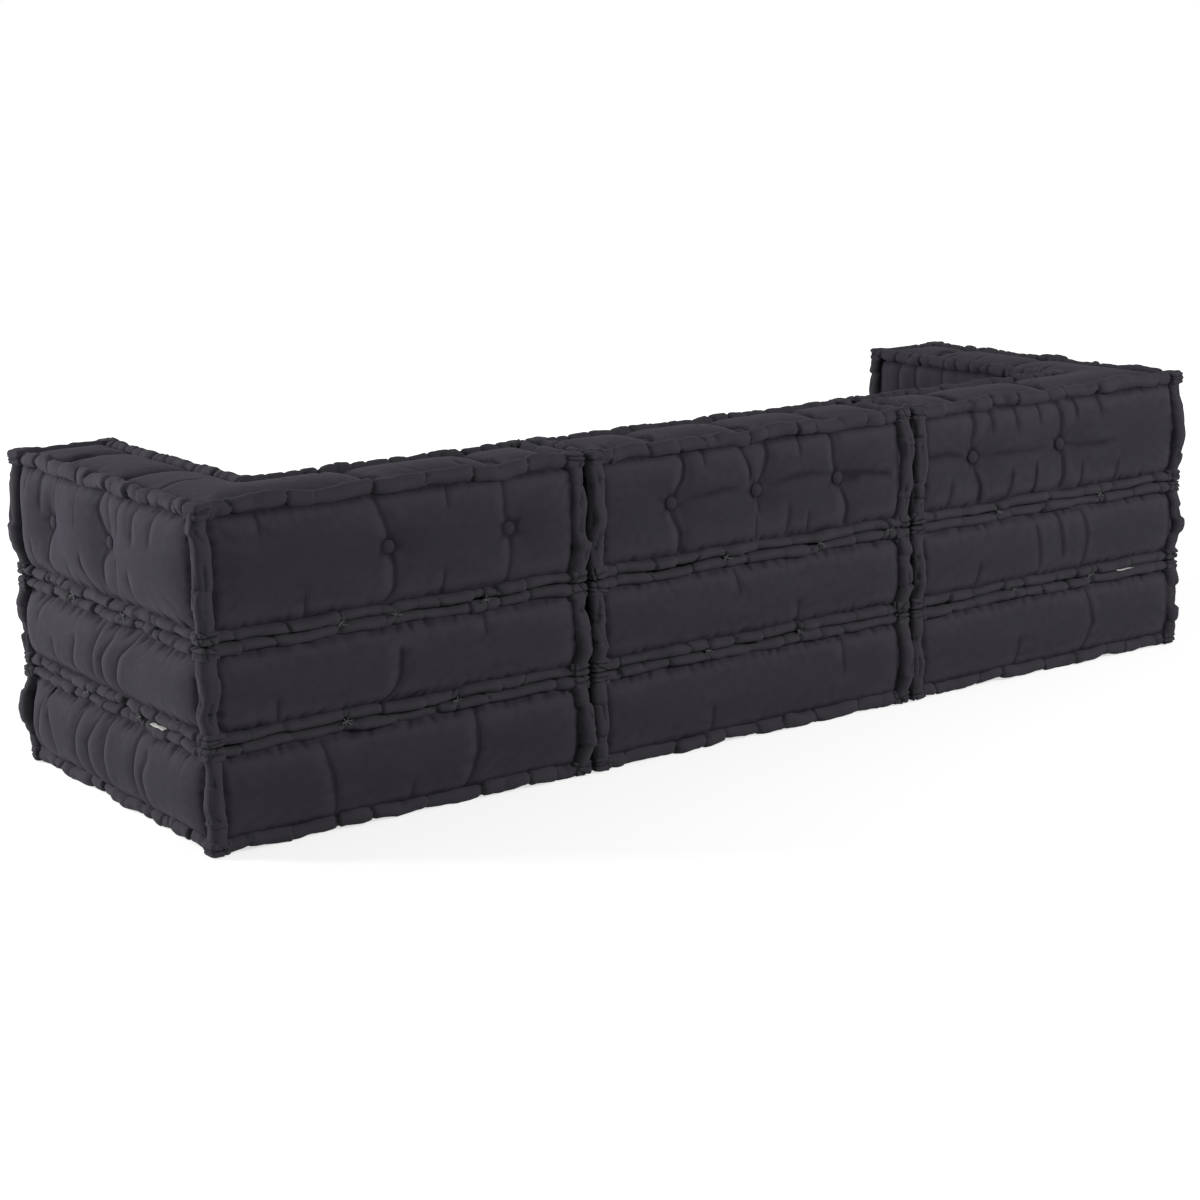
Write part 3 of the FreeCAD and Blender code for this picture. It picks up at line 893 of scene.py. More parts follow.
def hidden_by_back(rest, pad):
    """The part of a seat's top that the back and the arm stand on."""
    if pad.pad != "seat":
        return np.zeros(len(rest), bool)
    under = rest[:, 1] < ARM_DEPTH + BACK_EDGE
    if pad.is_end:
        under |= rest[:, 0] < ARM_DEPTH + BACK_EDGE
    return under


def pin_weights(points, rest, pad):
    """One where a seam, a tuft or a neighbour holds the cloth, less on a fold, zero where free."""
    rim = distance_to_rim(rest, pad)
    at_low = at_level(rest, pad.low)
    at_high = at_level(rest, pad.high)
    by_seam = np.minimum(rest[:, 2] - pad.low, pad.high - rest[:, 2]) < SEAM_PIN
    pins = np.zeros(len(rest))
    for side in pad.sides:
        on_side, s = side.members(rest)
        h = (rest[:, 2] - pad.low) / (pad.high - pad.low)
        for fold in side.folds:
            in_fold = on_side & (np.abs(s - fold.column) < SAME_COLUMN)
            pins[in_fold] = np.maximum(pins, fold.hold * fold.strength(h))[in_fold]
    if pad.pad in ("seat", "back"):
        for axis, place in top_troughs(pad)[0]:
            nearest = rest[np.argmin(np.abs(rest[:, axis] - place)), axis]
            in_trough = at_high & (np.abs(rest[:, axis] - nearest) < SAME_COLUMN)
            pins[in_trough] = np.maximum(pins, TROUGH_PIN)[in_trough]
    pins[(rim < SAME) & by_seam] = 1
    pins[at_low] = 1
    pins[at_high & (rim < SEAM_HOLD)] = 1
    if pad.pad == "base":
        pins[at_high] = 1
    pins[at_high & hidden_by_back(rest, pad)] = 1
    for corner in pad.convex_corners():
        pins[np.linalg.norm(rest[:, :2] - corner, axis=1) < SEAM_HOLD] = 1
    for side in pad.sides:
        on_side, _ = side.members(rest)
        s = side.place_along(points)
        for place, height, spread in side.tufts:
            away = np.hypot(s - place, rest[:, 2] - height)
            drawn = TUFT_PIN * bell(away / (TUFT_PIN_REACH * spread)) * on_side
            pins = np.maximum(pins, drawn)
            pins[on_side & (away < BUTTON_RADIUS)] = 1
    if pad.pad == "seat":
        for u, v in seat_tufts_of(pad):
            away = np.hypot(rest[:, 0] - u, rest[:, 1] - v)
            pins[at_high & (away < BUTTON_RADIUS)] = 1
    return pins


def press_folds(mesh, pad, rng):
    """Draws the folds in sharply, once the stuffing has swelled the canvas."""
    rest = rest_of(mesh)
    points = mesh_points(mesh)
    normals = point_normals(mesh)
    push = np.zeros(len(points))
    for side in pad.sides:
        on_side, s = side.members(rest)
        slid = side.place_along(points)
        h = (rest[:, 2] - pad.low) / (pad.high - pad.low)
        seam = np.minimum(h, 1 - h) * (pad.high - pad.low)
        corner = np.minimum(s, side.length - s)
        free = off_edge(np.minimum(seam, corner), PRESS_FADE) * on_side
        for fold in side.folds:
            beside = s - fold.column
            drawn = DRAWN_FOLD + DRAWN_FOLD_GROWTH * fold.depth
            push -= drawn * bell(beside / DRAWN_FOLD_WIDTH) * fold.strength(h) * free
        for crease in side.creases:
            near = crease.nearness(slid, points[:, 2], pad, DRAWN_CREASE_WIDTH)
            push -= DRAWN_CREASE_SHARE * crease.depth * near * free
        for place, height, _ in side.tufts:
            across = slid - place
            upwards = points[:, 2] - height
            away = np.hypot(across, upwards)
            angle = np.arctan2(upwards, across)
            folds = rng.choice((5, 6, 7))
            ripple = np.abs(np.cos(folds * angle / 2 + rng.uniform(0, 6))) ** 3
            push -= TUFT_RIPPLE * ripple * bell((away - TUFT_RIPPLE_AT) / TUFT_RIPPLE_WIDTH) * free
            push -= BUTTON_GROOVE * bell((away - BUTTON_GROOVE_AT) / BUTTON_GROOVE_WIDTH) * free
    rim = distance_to_rim(rest, pad)
    at_top = at_level(rest, pad.high) & ~hidden_by_back(rest, pad)
    open_top = np.clip((rim - TOP_HELD) / SWELL_FADE, 0, 1) * at_top
    for axis, place, depth, low, high in top_creases(pad, rng):
        run = rest[:, 1 - axis]
        line = place + TOP_CREASE_WANDER * wavy(run, rng, 0.20, 0.09, 3)
        started = np.clip((run - low) / TOP_CREASE_FADE, 0, 1)
        kept = started * np.clip((high - run) / TOP_CREASE_FADE, 0, 1)
        push -= depth * bell((rest[:, axis] - line) / TOP_CREASE_WIDTH) * kept * open_top
    set_mesh_points(mesh, points + normals * push[:, None])


def fill_with_stuffing(obj, pins, slack, settings):
    """Cloth with a little spare canvas, blown up from inside, its result kept as the mesh."""
    scene = bpy.context.scene
    obj.shape_key_add(name="Sewn")
    cut = obj.shape_key_add(name="Cut")
    points = mesh_points(obj.data)
    middle = (points.min(0) + points.max(0)) / 2
    spare = middle + (points - middle) * np.array(slack)
    cut.data.foreach_set("co", spare.ravel())
    group = obj.vertex_groups.new(name="Sewn")
    for i in np.nonzero(pins)[0]:
        group.add([int(i)], float(pins[i]), "REPLACE")
    modifier = obj.modifiers.new("Stuffing", "CLOTH")
    cloth = modifier.settings
    cloth.quality = 4
    cloth.mass = 0.3
    cloth.tension_stiffness = 20
    cloth.compression_stiffness = 20
    cloth.shear_stiffness = 8
    cloth.bending_stiffness = settings.canvas_bending
    cloth.tension_damping = 8
    cloth.compression_damping = 8
    cloth.shear_damping = 8
    cloth.air_damping = 3
    cloth.use_pressure = True
    cloth.uniform_pressure_force = settings.stuffing_pressure
    cloth.effector_weights.gravity = 0
    cloth.vertex_group_mass = group.name
    cloth.rest_shape_key = cut
    modifier.collision_settings.use_collision = False
    modifier.collision_settings.use_self_collision = False
    modifier.point_cache.frame_start = 1
    modifier.point_cache.frame_end = settings.stuffing_frames
    for number in range(1, settings.stuffing_frames + 1):
        scene.frame_set(number)
    depsgraph = bpy.context.evaluated_depsgraph_get()
    filled = mesh_points(obj.evaluated_get(depsgraph).data)
    obj.modifiers.remove(modifier)
    obj.shape_key_clear()
    obj.vertex_groups.clear()
    scene.frame_set(1)
    moved = filled - points
    length = np.linalg.norm(moved, axis=1)
    share = np.minimum(1, settings.stuffing_reach / np.maximum(length, 1e-9))
    set_mesh_points(obj.data, points + moved * share[:, None])


def smoothed_mesh(obj):
    """The object's mesh with one level of subdivision applied."""
    modifier = obj.modifiers.new("Smooth", "SUBSURF")
    modifier.levels = 1
    modifier.render_levels = 1
    modifier.boundary_smooth = "PRESERVE_CORNERS"
    depsgraph = bpy.context.evaluated_depsgraph_get()
    mesh = bpy.data.meshes.new_from_object(obj.evaluated_get(depsgraph))
    obj.modifiers.remove(modifier)
    return mesh


def point_normals(mesh):
    """The normals at a mesh's points."""
    normals = np.empty(len(mesh.vertices) * 3)
    mesh.vertex_normals.foreach_get("vector", normals)
    return normals.reshape(-1, 3)


def rest_of(mesh):
    """Where each point lay before the pad was shaped."""
    rest = np.empty(len(mesh.vertices) * 3)
    mesh.attributes["rest"].data.foreach_get("vector", rest)
    return rest.reshape(-1, 3)


def pucker_seams(mesh, pad, rng):
    """Small gathers and tucks where the canvas is sewn into its rolls."""
    rest = rest_of(mesh)
    points = mesh_points(mesh)
    normals = point_normals(mesh)
    push = np.zeros(len(points))

    def gather(members, along, away, length, reach, drawn=1.0):
        off_line = away > 0.001
        fade = np.exp(-np.maximum(away - GATHER_START, 0) / reach) * off_line
        push[members] += (GATHER_DEPTH * drawn * wavy(along, rng, 0.090, 0.020, 4) * fade)[members]
        for place, depth in chance_tucks(length, rng):
            slant = rng.uniform(-0.5, 0.5)
            notch = bell((along - place - slant * away) / TUCK_WIDTH)
            push[members] -= (depth * drawn * notch * fade)[members]

    for side in pad.sides:
        on_side, s = side.members(rest)
        z = rest[:, 2]
        arm_side = side.name == "outer" and pad.is_end
        reach, drawn = ARM_GATHERS if arm_side else SIDE_GATHERS
        for level in (pad.low, pad.high):
            gather(on_side, s, np.abs(z - level), side.length, reach, drawn)
        for end in (0, side.length):
            gather(on_side, z - pad.low, np.abs(s - end), pad.high - pad.low, CORNER_GATHER_REACH,
                   drawn)
    if pad.pad != "base":
        at_top = at_level(rest, pad.high) & ~hidden_by_back(rest, pad)
        for side in pad.sides:
            offset = rest[:, :2] - side.start
            s = offset @ side.along
            beside = (s > 0) & (s < side.length) & at_top
            gather(beside, s, np.abs(offset @ side.out), side.length, TOP_GATHER_REACH)
    set_mesh_points(mesh, points + normals * push[:, None])


# Where shade is painted into the canvas beside the rolls
def beside_rolls(rest, pad):
    """One against the edge of a roll, fading to zero a little way up the canvas."""
    near = np.full(len(rest), 1.0)
    pressed_edge = PRESSED_ROLL * PRESSED_FLATNESS - PRESSED_SHIFT
    for side in pad.sides:
        on_side, s = side.members(rest)
        away = np.minimum(s, side.length - s) - FREE_ROLL
        for upper, level in ((False, pad.low), (True, pad.high)):
            edge = pressed_edge if roll_is_pressed(pad, side, upper) else FREE_ROLL
            away = np.minimum(away, np.abs(rest[:, 2] - level) - edge)
        near = np.where(on_side, np.minimum(near, away), near)
    at_top = at_level(rest, pad.high)
    near = np.where(at_top, np.minimum(near, distance_to_rim(rest, pad) - FREE_ROLL), near)
    return np.clip(1 - near / ROLL_SHADE_REACH, 0, 1)


def mark_wear_and_shade(mesh, roll_shade=0.0):
    """Stores how much each point stands out from its neighbours: the canvas fades on ridges, and
    low values paint shade into folds and into the canvas beside the rolls."""
    count = len(mesh.vertices)
    edges = np.empty(len(mesh.edges) * 2, int)
    mesh.edges.foreach_get("vertices", edges)
    edges = edges.reshape(-1, 2)
    points = mesh_points(mesh)
    normals = point_normals(mesh)
    valence = np.maximum(1, np.bincount(edges.ravel(), minlength=count))
    mean = points.copy()
    for _ in range(RELIEF_ROUNDS):
        total = np.zeros((count, 3))
        np.add.at(total, edges[:, 0], mean[edges[:, 1]])
        np.add.at(total, edges[:, 1], mean[edges[:, 0]])
        mean = total / valence[:, None]
    height = ((points - mean) * normals).sum(1)
    # Below one half the value paints shade: in folds, and by the given share beside the rolls
    worn = np.clip(0.5 + height / RELIEF_HEIGHT - ROLL_SHADE_SHARE * roll_shade, 0, 1)
    layer = mesh.attributes.new("worn", "FLOAT", "POINT")
    layer.data.foreach_set("value", worn.astype(np.float32))


def keep_clear(points, pad):
    """Holds a module's points off its neighbours, and no lower than the underside of its pad's lower
    rolls.
    """
    points[:, 0] = np.minimum(points[:, 0], MODULE_SIDE + NEIGHBOUR_LIMIT)
    if not pad.is_end:
        points[:, 0] = np.maximum(points[:, 0], -NEIGHBOUR_LIMIT)
    points[:, 2] = np.maximum(points[:, 2], pad.low - ROLL_RADIUS)


def make_pad(module, pad_name, settings):
    """One stuffed pad, its cover and filling as one cushion."""
    pad = Pad(module, pad_name)
    rng = random.Random(pad.seed())
    name = f"{pad.name}_pad"
    mesh = net_mesh(name, pad, settings.canvas_cell)
    rest = mesh_points(mesh)
    points = rest.copy()
    for side in pad.sides:
        swell_side(points, rest, pad, side, settings.start_fullness)
    swell_flats(points, rest, pad, settings.start_fullness)
    pins = pin_weights(points, rest, pad)
    jitter = np.array([rng.uniform(-1, 1) for _ in range(points.size)]).reshape(-1, 3)
    points += jitter * CANVAS_JITTER * (1 - pins)[:, None]
    set_mesh_points(mesh, points)
    obj = link_object(name, mesh)
    slack = (1 + settings.slack_along_back, 1 + settings.slack_along_arm, 1 + settings.slack_upwards)
    fill_with_stuffing(obj, pins, slack, settings)
    fine = smoothed_mesh(obj)
    fine.name = name
    pucker_seams(fine, pad, rng)
    press_folds(fine, pad, rng)
    points = mesh_points(fine)
    keep_clear(points, pad)
    set_mesh_points(fine, points)
    obj.data = fine
    close_hidden_flats(fine)
    # Shade is painted into the pad's folds and beside its rolls through this stored value
    mark_wear_and_shade(fine, beside_rolls(rest_of(fine), pad))
    fine.shade_smooth()
    place_in_sofa(obj, pad)
    fine.materials.append(canvas_material())
    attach(obj, body_of_module(module))
    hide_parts(f"{pad.name}_cover", f"{pad.name}_filling")
    return obj


# Rolled edges

class RollStyle:
    """How a stretch of rolled edge is stitched, and how unlike its links are."""

    def __init__(self, shortest, longest, pinch, unevenness, offset, gather):
        self.shortest = shortest
        self.longest = longest
        self.pinch = pinch
        self.unevenness = unevenness
        self.offset = offset
        self.gather = gather


LINKS = RollStyle(0.020, 0.064, (0.10, 0.42), 0.11, 0.0026, 0.0012)
CATERPILLAR = RollStyle(0.024, 0.046, (0.18, 0.38), 0.08, 0.0016, 0.0009)
SMOOTH = RollStyle(0.042, 0.115, (0.08, 0.32), 0.08, 0.0027, 0.0009)
MIXED = RollStyle(0.034, 0.095, (0.08, 0.36), 0.09, 0.0030, 0.0011)
UPRIGHT = RollStyle(0.060, 0.150, (0.03, 0.14), 0.07, 0.0040, 0.0006)


def ring_places(length, stitches):
    """Where a roll's rings go: evenly, and closer together at each stitch."""
    places = list(np.linspace(0, length, max(8, round(length / RING_STEP)) + 1))
    for place, _ in stitches:
        places += [place + step for step in STITCH_RINGS]
    places = np.unique(np.clip(np.array(places), 0, length))
    kept = [0.0]
    for place in places:
        if place - kept[-1] > LEAST_RING_STEP:
            kept.append(float(place))
    kept[-1] = length
    return np.array(kept)


def link_values(t, stitches, spread, rng):
    """A value for each link between two stitches, changing quickly at the stitch."""
    value = np.full_like(t, rng.uniform(-spread, spread))
    known = value[0]
    for place, _ in stitches:
        fresh = rng.uniform(-spread, spread)
        step = np.clip((t - place) / LINK_CHANGE + 0.5, 0, 1)
        value = value + (fresh - known) * step * step * (3 - 2 * step)
        known = fresh
    return value


def unit_tube(rings, segments):
    """A closed tube of radius and length one, cut into rings."""
    bm = bmesh.new()
    bmesh.ops.create_cone(bm, cap_ends=True, segments=segments, radius1=1, radius2=1, depth=1)
    long_edges = [edge for edge in bm.edges if abs(edge.verts[0].co.z - edge.verts[1].co.z) > 0.5]
    bmesh.ops.subdivide_edges(bm, edges=long_edges, cuts=rings - 1)
    bmesh.ops.recalc_face_normals(bm, faces=bm.faces)
    mesh = bpy.data.meshes.new("tube")
    bm.to_mesh(mesh)
    bm.free()
    return mesh


def wrap_uv(mesh, turn, run, radius):
    """A UV map in metres round and along a tube, with no face across the join."""
    loops = np.empty(len(mesh.loops), int)
    mesh.loops.foreach_get("vertex_index", loops)
    starts = np.empty(len(mesh.polygons), int)
    mesh.polygons.foreach_get("loop_start", starts)
    totals = np.empty(len(mesh.polygons), int)
    mesh.polygons.foreach_get("loop_total", totals)
    order = np.argsort(starts)
    angle = turn[loops]
    most = np.maximum.reduceat(angle, starts[order])
    face_most = np.repeat(most, totals[order])
    angle = np.where(face_most - angle > np.pi, angle + 2 * np.pi, angle)
    uv = np.stack([angle * radius, run[loops]], 1)
    layer = mesh.uv_layers.new(name="Weave")
    layer.data.foreach_set("uv", uv.astype(np.float32).ravel())


def stitch_places(length, style, rng):
    """Where the stitches pinch a roll."""
    places = []
    s = rng.uniform(0.5, 1.0) * style.shortest + STITCH_MARGIN
    while s < length - STITCH_MARGIN - style.shortest * 0.5:
        places.append(s)
        s += rng.uniform(style.shortest, style.longest)
    return places


def stitched_radius(t, turn, length, stitches, style, size, rng):
    """The radius of a roll all over its tube: its links, pinches, gathers and tugs."""
    to_end = np.minimum(t, length - t)
    uneven = link_values(t, stitches, style.unevenness, rng)
    radius = size * (1 + uneven + ROLL_WAVE * wavy(t, rng, 0.18, 0.03, 4))
    lean = rng.uniform(0, np.pi) + wavy(t, rng, 0.25, 0.09, 3)
    radius = radius * (1 + ROLL_OVAL * np.cos(2 * (turn - lean)))
    for place, depth in stitches:
        slant = rng.uniform(-STITCH_SLANT, STITCH_SLANT) * size
        away = t - place - slant * np.cos(turn - rng.uniform(0, 2 * np.pi))
        width = rng.uniform(*STITCH_WIDTHS)
        shallow = rng.uniform(0.0, 0.8) * (0.5 - 0.5 * np.cos(turn - rng.uniform(-1.2, 1.2)))
        depth = depth * (1 - shallow)
        flank = 0.25 * depth * bell(away / (STITCH_FLANK * width))
        radius = radius * (1 - depth * bell(away / width) - flank)
        folds = rng.choice((4, 5, 6, 7))
        ripple = np.cos(folds * turn + rng.uniform(0, 2 * np.pi)) + 0.5 * np.cos((folds + 3) * turn)
        gathered = style.gather * depth / style.pinch[1] * ripple
        radius = radius + gathered * np.exp(-np.abs(away) / GATHER_FADE)
    radius = radius * (1 - NECK_DEPTH * bell((to_end - NECK_AT) / NECK_WIDTH))
    inward = np.clip(np.cos(turn - np.pi), 0, 1) ** 1.5
    place = rng.uniform(0.008, 0.020)
    while place < length:
        tug = rng.uniform(*TUG_DEPTHS) * inward
        radius = radius * (1 - tug * bell((t - place) / TUG_WIDTH))
        place += rng.uniform(*TUG_SPACING)
    return radius + ROLL_NAP * wavy(t + 0.006 * np.cos(turn), rng, 0.04, 0.014, 4)


def creased_radius(radius, t, turn, ends, creases, rng):
    """The radius of a roll with the creases that run along it drawn in."""
    for number in range(creases):
        line = (number - 0.5 * (creases - 1)) * CREASE_TURN + rng.uniform(-0.3, 0.3)
        line = line + 0.35 * wavy(t, rng, 0.12, 0.05, 3)
        bend = (turn - line + np.pi) % (2 * np.pi) - np.pi
        deep = ROLL_CREASE_DEPTH + ROLL_CREASE_UNEVENNESS * wavy(t, rng, 0.10, 0.05, 2)
        radius = radius - deep * bell(bend / ROLL_CREASE_ANGLE) * ends
    return radius


def roll_tube(start, end, out, style, rng, size=FREE_ROLL, flatness=1.0, bow=(0, 0, 0), extra=(),
              extra_pinch=STAR_PINCH, drift=None, creases=0, segments=ROLL_SEGMENTS):
    """A rolled edge between two points of the plan, along its wandering line."""
    start = np.array(start, float)
    end = np.array(end, float)
    length = float(np.linalg.norm(end - start))
    along = (end - start) / length
    across = np.array(out, float)
    across /= np.linalg.norm(across)
    aside = np.cross(along, across)
    stitches = [(place, rng.uniform(*style.pinch)) for place in stitch_places(length, style, rng)]
    stitches += [(place, rng.uniform(*extra_pinch)) for place in extra]
    stitches.sort()
    places = ring_places(length, stitches)
    rings = len(places) - 1
    mesh = unit_tube(rings, segments)
    local = mesh_points(mesh)
    t = places[np.clip(np.round((local[:, 2] + 0.5) * rings).astype(int), 0, rings)]
    turn = np.arctan2(local[:, 1], local[:, 0]) % (2 * np.pi)
    on_axis = np.hypot(local[:, 0], local[:, 1]) < 0.5
    wrap_uv(mesh, turn, t, ROLL_RADIUS)
    ends = np.clip(np.minimum(t, length - t) / ROLL_END, 0, 1)
    radius = stitched_radius(t, turn, length, stitches, style, size, rng)
    radius = creased_radius(radius, t, turn, ends, creases, rng)
    if drift is None:
        drift = wavy(t, rng, 0.26, 0.06, 4) * style.offset
    else:
        drift = drift(t)
    drift = drift + 0.5 * link_values(t, stitches, style.offset, rng)
    sideways = wavy(t, rng, 0.25, 0.06, 4) * style.offset + link_values(t, stitches, style.offset, rng)
    arch = 4 * (t / length) * (1 - t / length)
    centre = start + t[:, None] * along + arch[:, None] * np.array(bow, float)
    centre = centre + (drift * ends)[:, None] * aside + (sideways * ends)[:, None] * across
    radius = np.where(on_axis, 0, radius)
    spread = np.cos(turn)[:, None] * across + (flatness * np.sin(turn))[:, None] * aside
    set_mesh_points(mesh, centre + radius[:, None] * spread)
    return mesh


def knot_mesh(centre, size, rng):
    """The knotty end of the rolls at a corner: a soft cube with level folds."""
    bm = bmesh.new()
    bmesh.ops.create_cube(bm, size=2)
    bmesh.ops.subdivide_edges(bm, edges=bm.edges[:], cuts=11, use_grid_fill=True)
    mesh = bpy.data.meshes.new("knot")
    bm.to_mesh(mesh)
    bm.free()
    points = mesh_points(mesh)
    roundness = (np.abs(points) ** 5).sum(1) ** 0.2
    points = points / roundness[:, None]
    bands = [(Vector((rng.uniform(-0.25, 0.25), rng.uniform(-0.25, 0.25), 1)), rng.uniform(-0.5, 0.5))
             for _ in range(2)]
    bands += [(Vector((rng.uniform(-1, 1), rng.uniform(-1, 1), rng.uniform(-0.5, 0.5))),
               rng.uniform(-0.45, 0.45)) for _ in range(2)]
    for direction, place in bands:
        away = points @ np.array(direction.normalized()) - place
        depth = rng.uniform(0.10, 0.20)
        points = points * (1 - depth * bell(away / 0.10))[:, None]
        points = points * (1 + 0.30 * depth * bell((away - 0.2) / 0.12))[:, None]
    points = points * np.array(size) / np.abs(points).max(0)
    spin = Matrix.Rotation(rng.uniform(-0.22, 0.22), 3, "Z")
    points = points @ np.array(spin).T
    uv = mesh.uv_layers.new(name="Weave")
    loops = np.empty(len(mesh.loops), int)
    mesh.loops.foreach_get("vertex_index", loops)
    flat = points[loops]
    laid = np.stack([flat[:, 0] + flat[:, 1], flat[:, 2]], 1)
    uv.data.foreach_set("uv", laid.astype(np.float32).ravel())
    set_mesh_points(mesh, points + np.array(centre))
    return mesh


def joined(name, meshes):
    """One mesh of several, which are then dropped."""
    bm = bmesh.new()
    for mesh in meshes:
        bm.from_mesh(mesh)
        bpy.data.meshes.remove(mesh)
    mesh = bpy.data.meshes.new(name)
    bm.to_mesh(mesh)
    bm.free()
    mesh.shade_smooth()
    return mesh


def seam_drift(module, side_name, level_index):
    """The line that both rolls of a seam follow up and down together."""
    rng = random.Random(7000 + 100 * MODULES.index(module) + 10 * level_index + len(side_name))
    phases = [rng.uniform(0, 2 * np.pi) for _ in range(4)]

    def drift(t):
        total = np.zeros_like(t)
        for i, phase in enumerate(phases):
            total = total + np.sin(2 * np.pi * t / (SEAM_WAVE / (1 + 0.83 * i)) + phase) / (1 + i)
        return total * SEAM_WANDER

    return drift


def roll_axis(pad, side, upper):
    """The height of a roll's centre line, and the wandering line that it shares across a seam."""
    level = pad.high if upper else pad.low
    if not roll_is_pressed(pad, side, upper):
        return level, None
    level += PRESSED_SHIFT if upper else -PRESSED_SHIFT
    return level, seam_drift(pad.module, side.name, PADS.index(pad.pad) + upper)


def star_places(pad, side, upper):
    """Where twine joins this roll to the next pad's roll, along the side."""
    if not roll_is_pressed(pad, side, upper):
        return ()
    upper_seam = (pad.pad, upper) in (("seat", True), ("back", False))
    if not upper_seam:
        return SEAM_STARS
    if side.name == "rear":
        return REAR_STARS[pad.module]
    return OUTER_STARS if side.name == "outer" and pad.is_end else ()


def style_for(pad, side, upper):
    """The stitching of one roll."""
    if pad.pad == "back" and upper:
        if side.name == "outer":
            return LINKS
        if side.name in ("front", "arm_inner"):
            return CATERPILLAR
        if side.name == "arm_front":
            return SMOOTH
        return SMOOTH if pad.module == "left" else MIXED
    if side.name in ("outer", "inner"):
        return LINKS
    return SMOOTH if side.name == "rear" else MIXED


def roll_group(pad, sides, corners, knots):
    """The rolls of some sides, the upright rolls at some corners, and some knots."""
    meshes = []
    for side in sides:
        for upper in (False, True):
            rng = random.Random(pad.seed(10 + 2 * pad.sides.index(side) + upper))
            pressed = roll_is_pressed(pad, side, upper)
            level, drift = roll_axis(pad, side, upper)
            start = (side.start[0], side.start[1], level)
            end = (side.end[0], side.end[1], level)
            out = (side.out[0], side.out[1], 0)
            meshes.append(roll_tube(start, end, out, style_for(pad, side, upper), rng,
                                    size=PRESSED_ROLL if pressed else FREE_ROLL,
                                    flatness=PRESSED_FLATNESS if pressed else 1.0,
                                    extra=star_places(pad, side, upper), drift=drift))
    for i, corner in enumerate(corners):
        rng = random.Random(pad.seed(40 + i))
        faces = sides_at(pad, corner)
        out = sum(side.out for side in faces)
        bow = (out[0] * CORNER_BOW_U, out[1] * CORNER_BOW_V, 0)
        start = (corner[0], corner[1], pad.low)
        end = (corner[0], corner[1], pad.high)
        lower_cuff = CORNER_CUFF * rng.uniform(*CUFF_SPREAD)
        upper_cuff = pad.high - pad.low - CORNER_CUFF * rng.uniform(*CUFF_SPREAD)
        meshes.append(roll_tube(start, end, (out[0], out[1], 0), UPRIGHT, rng, size=CORNER_ROLL,
                                bow=bow, extra=(lower_cuff, upper_cuff), extra_pinch=CUFF_PINCH,
                                creases=2))
    for i, corner in enumerate(knots):
        faces = sides_at(pad, corner)
        for upper, level in ((False, pad.low), (True, pad.high)):
            rng = random.Random(pad.seed(60 + 2 * i + upper))
            pressed = all(roll_is_pressed(pad, side, upper) for side in faces)
            if pressed:
                level += 0.5 * PRESSED_SHIFT if upper else -0.5 * PRESSED_SHIFT
            size = (KNOT_SIZE, KNOT_SIZE, PRESSED_KNOT_HEIGHT if pressed else KNOT_HEIGHT)
            meshes.append(knot_mesh((corner[0], corner[1], level), size, rng))
    return meshes


def sides_at(pad, corner):
    """The sides of a pad that meet at a corner of its plan."""
    return [side for side in pad.sides
            if np.allclose(side.start, corner) or np.allclose(side.end, corner)]


def strand_mesh(points, radius):
    """A thin cord along a smooth curve through a few points."""
    degree = len(points) - 1
    mesh = unit_tube(5 * degree, 6)
    local = mesh_points(mesh)
    run = (local[:, 2] + 0.5) * degree
    curve = np.polyfit(np.arange(degree + 1), np.array(points, float), degree)
    powers = np.arange(degree, -1, -1)
    centre = (run[:, None] ** powers) @ curve
    slopes = powers[:-1, None] * curve[:-1]
    tangent = (run[:, None] ** powers[1:]) @ slopes
    tangent /= np.linalg.norm(tangent, axis=1)[:, None]
    aside = np.cross(tangent, (0.36, 0.48, 0.80))
    aside /= np.linalg.norm(aside, axis=1)[:, None]
    upright = np.cross(tangent, aside)
    wrap_uv(mesh, np.arctan2(local[:, 1], local[:, 0]) % (2 * np.pi), run * STAR_REACH, radius)
    set_mesh_points(mesh, centre + radius * (local[:, :1] * aside + local[:, 1:2] * upright))
    return mesh


def twine_knot(centre, size):
    """The small hard knot where the strands of a star cross."""
    bm = bmesh.new()
    bmesh.ops.create_icosphere(bm, subdivisions=2, radius=size)
    bmesh.ops.translate(bm, verts=bm.verts, vec=centre)
    mesh = bpy.data.meshes.new("twine_knot")
    bm.to_mesh(mesh)
    bm.free()
    mesh.uv_layers.new(name="Weave")
    return mesh


def star_meshes(side, place, height, rng):
    """Twine sewn across a seam: crossing strands, a knot and two loose ends."""
    def spot(along, upward, out):
        flat = side.start + (place + along) * side.along + out * side.out
        return (flat[0], flat[1], height + upward)

    meshes = [twine_knot(spot(0, 0, STAR_OUT), STAR_KNOT)]
    for angle in STAR_ANGLES:
        angle += rng.uniform(-0.35, 0.35)
        reach = STAR_REACH * rng.uniform(0.6, 1.1)
        ahead = math.cos(angle)
        upward = 0.8 * math.sin(angle)
        out = STAR_OUT + 0.0030 * abs(ahead)
        meshes.append(strand_mesh([spot(-reach * ahead, -reach * upward, out),
                                   spot(0, 0, 0.0104 + rng.uniform(0, 0.0008)),
                                   spot(reach * ahead, reach * upward, out)], TWINE_RADIUS))
    way = rng.choice((-1, 1))
    drop = rng.uniform(-0.009, 0.004)
    meshes.append(strand_mesh([spot(0, 0, STAR_OUT), spot(0.004 * way, 0.4 * drop, 0.0140),
                               spot(0.010 * way, drop, 0.0150)], 0.8 * TWINE_RADIUS))
    return meshes


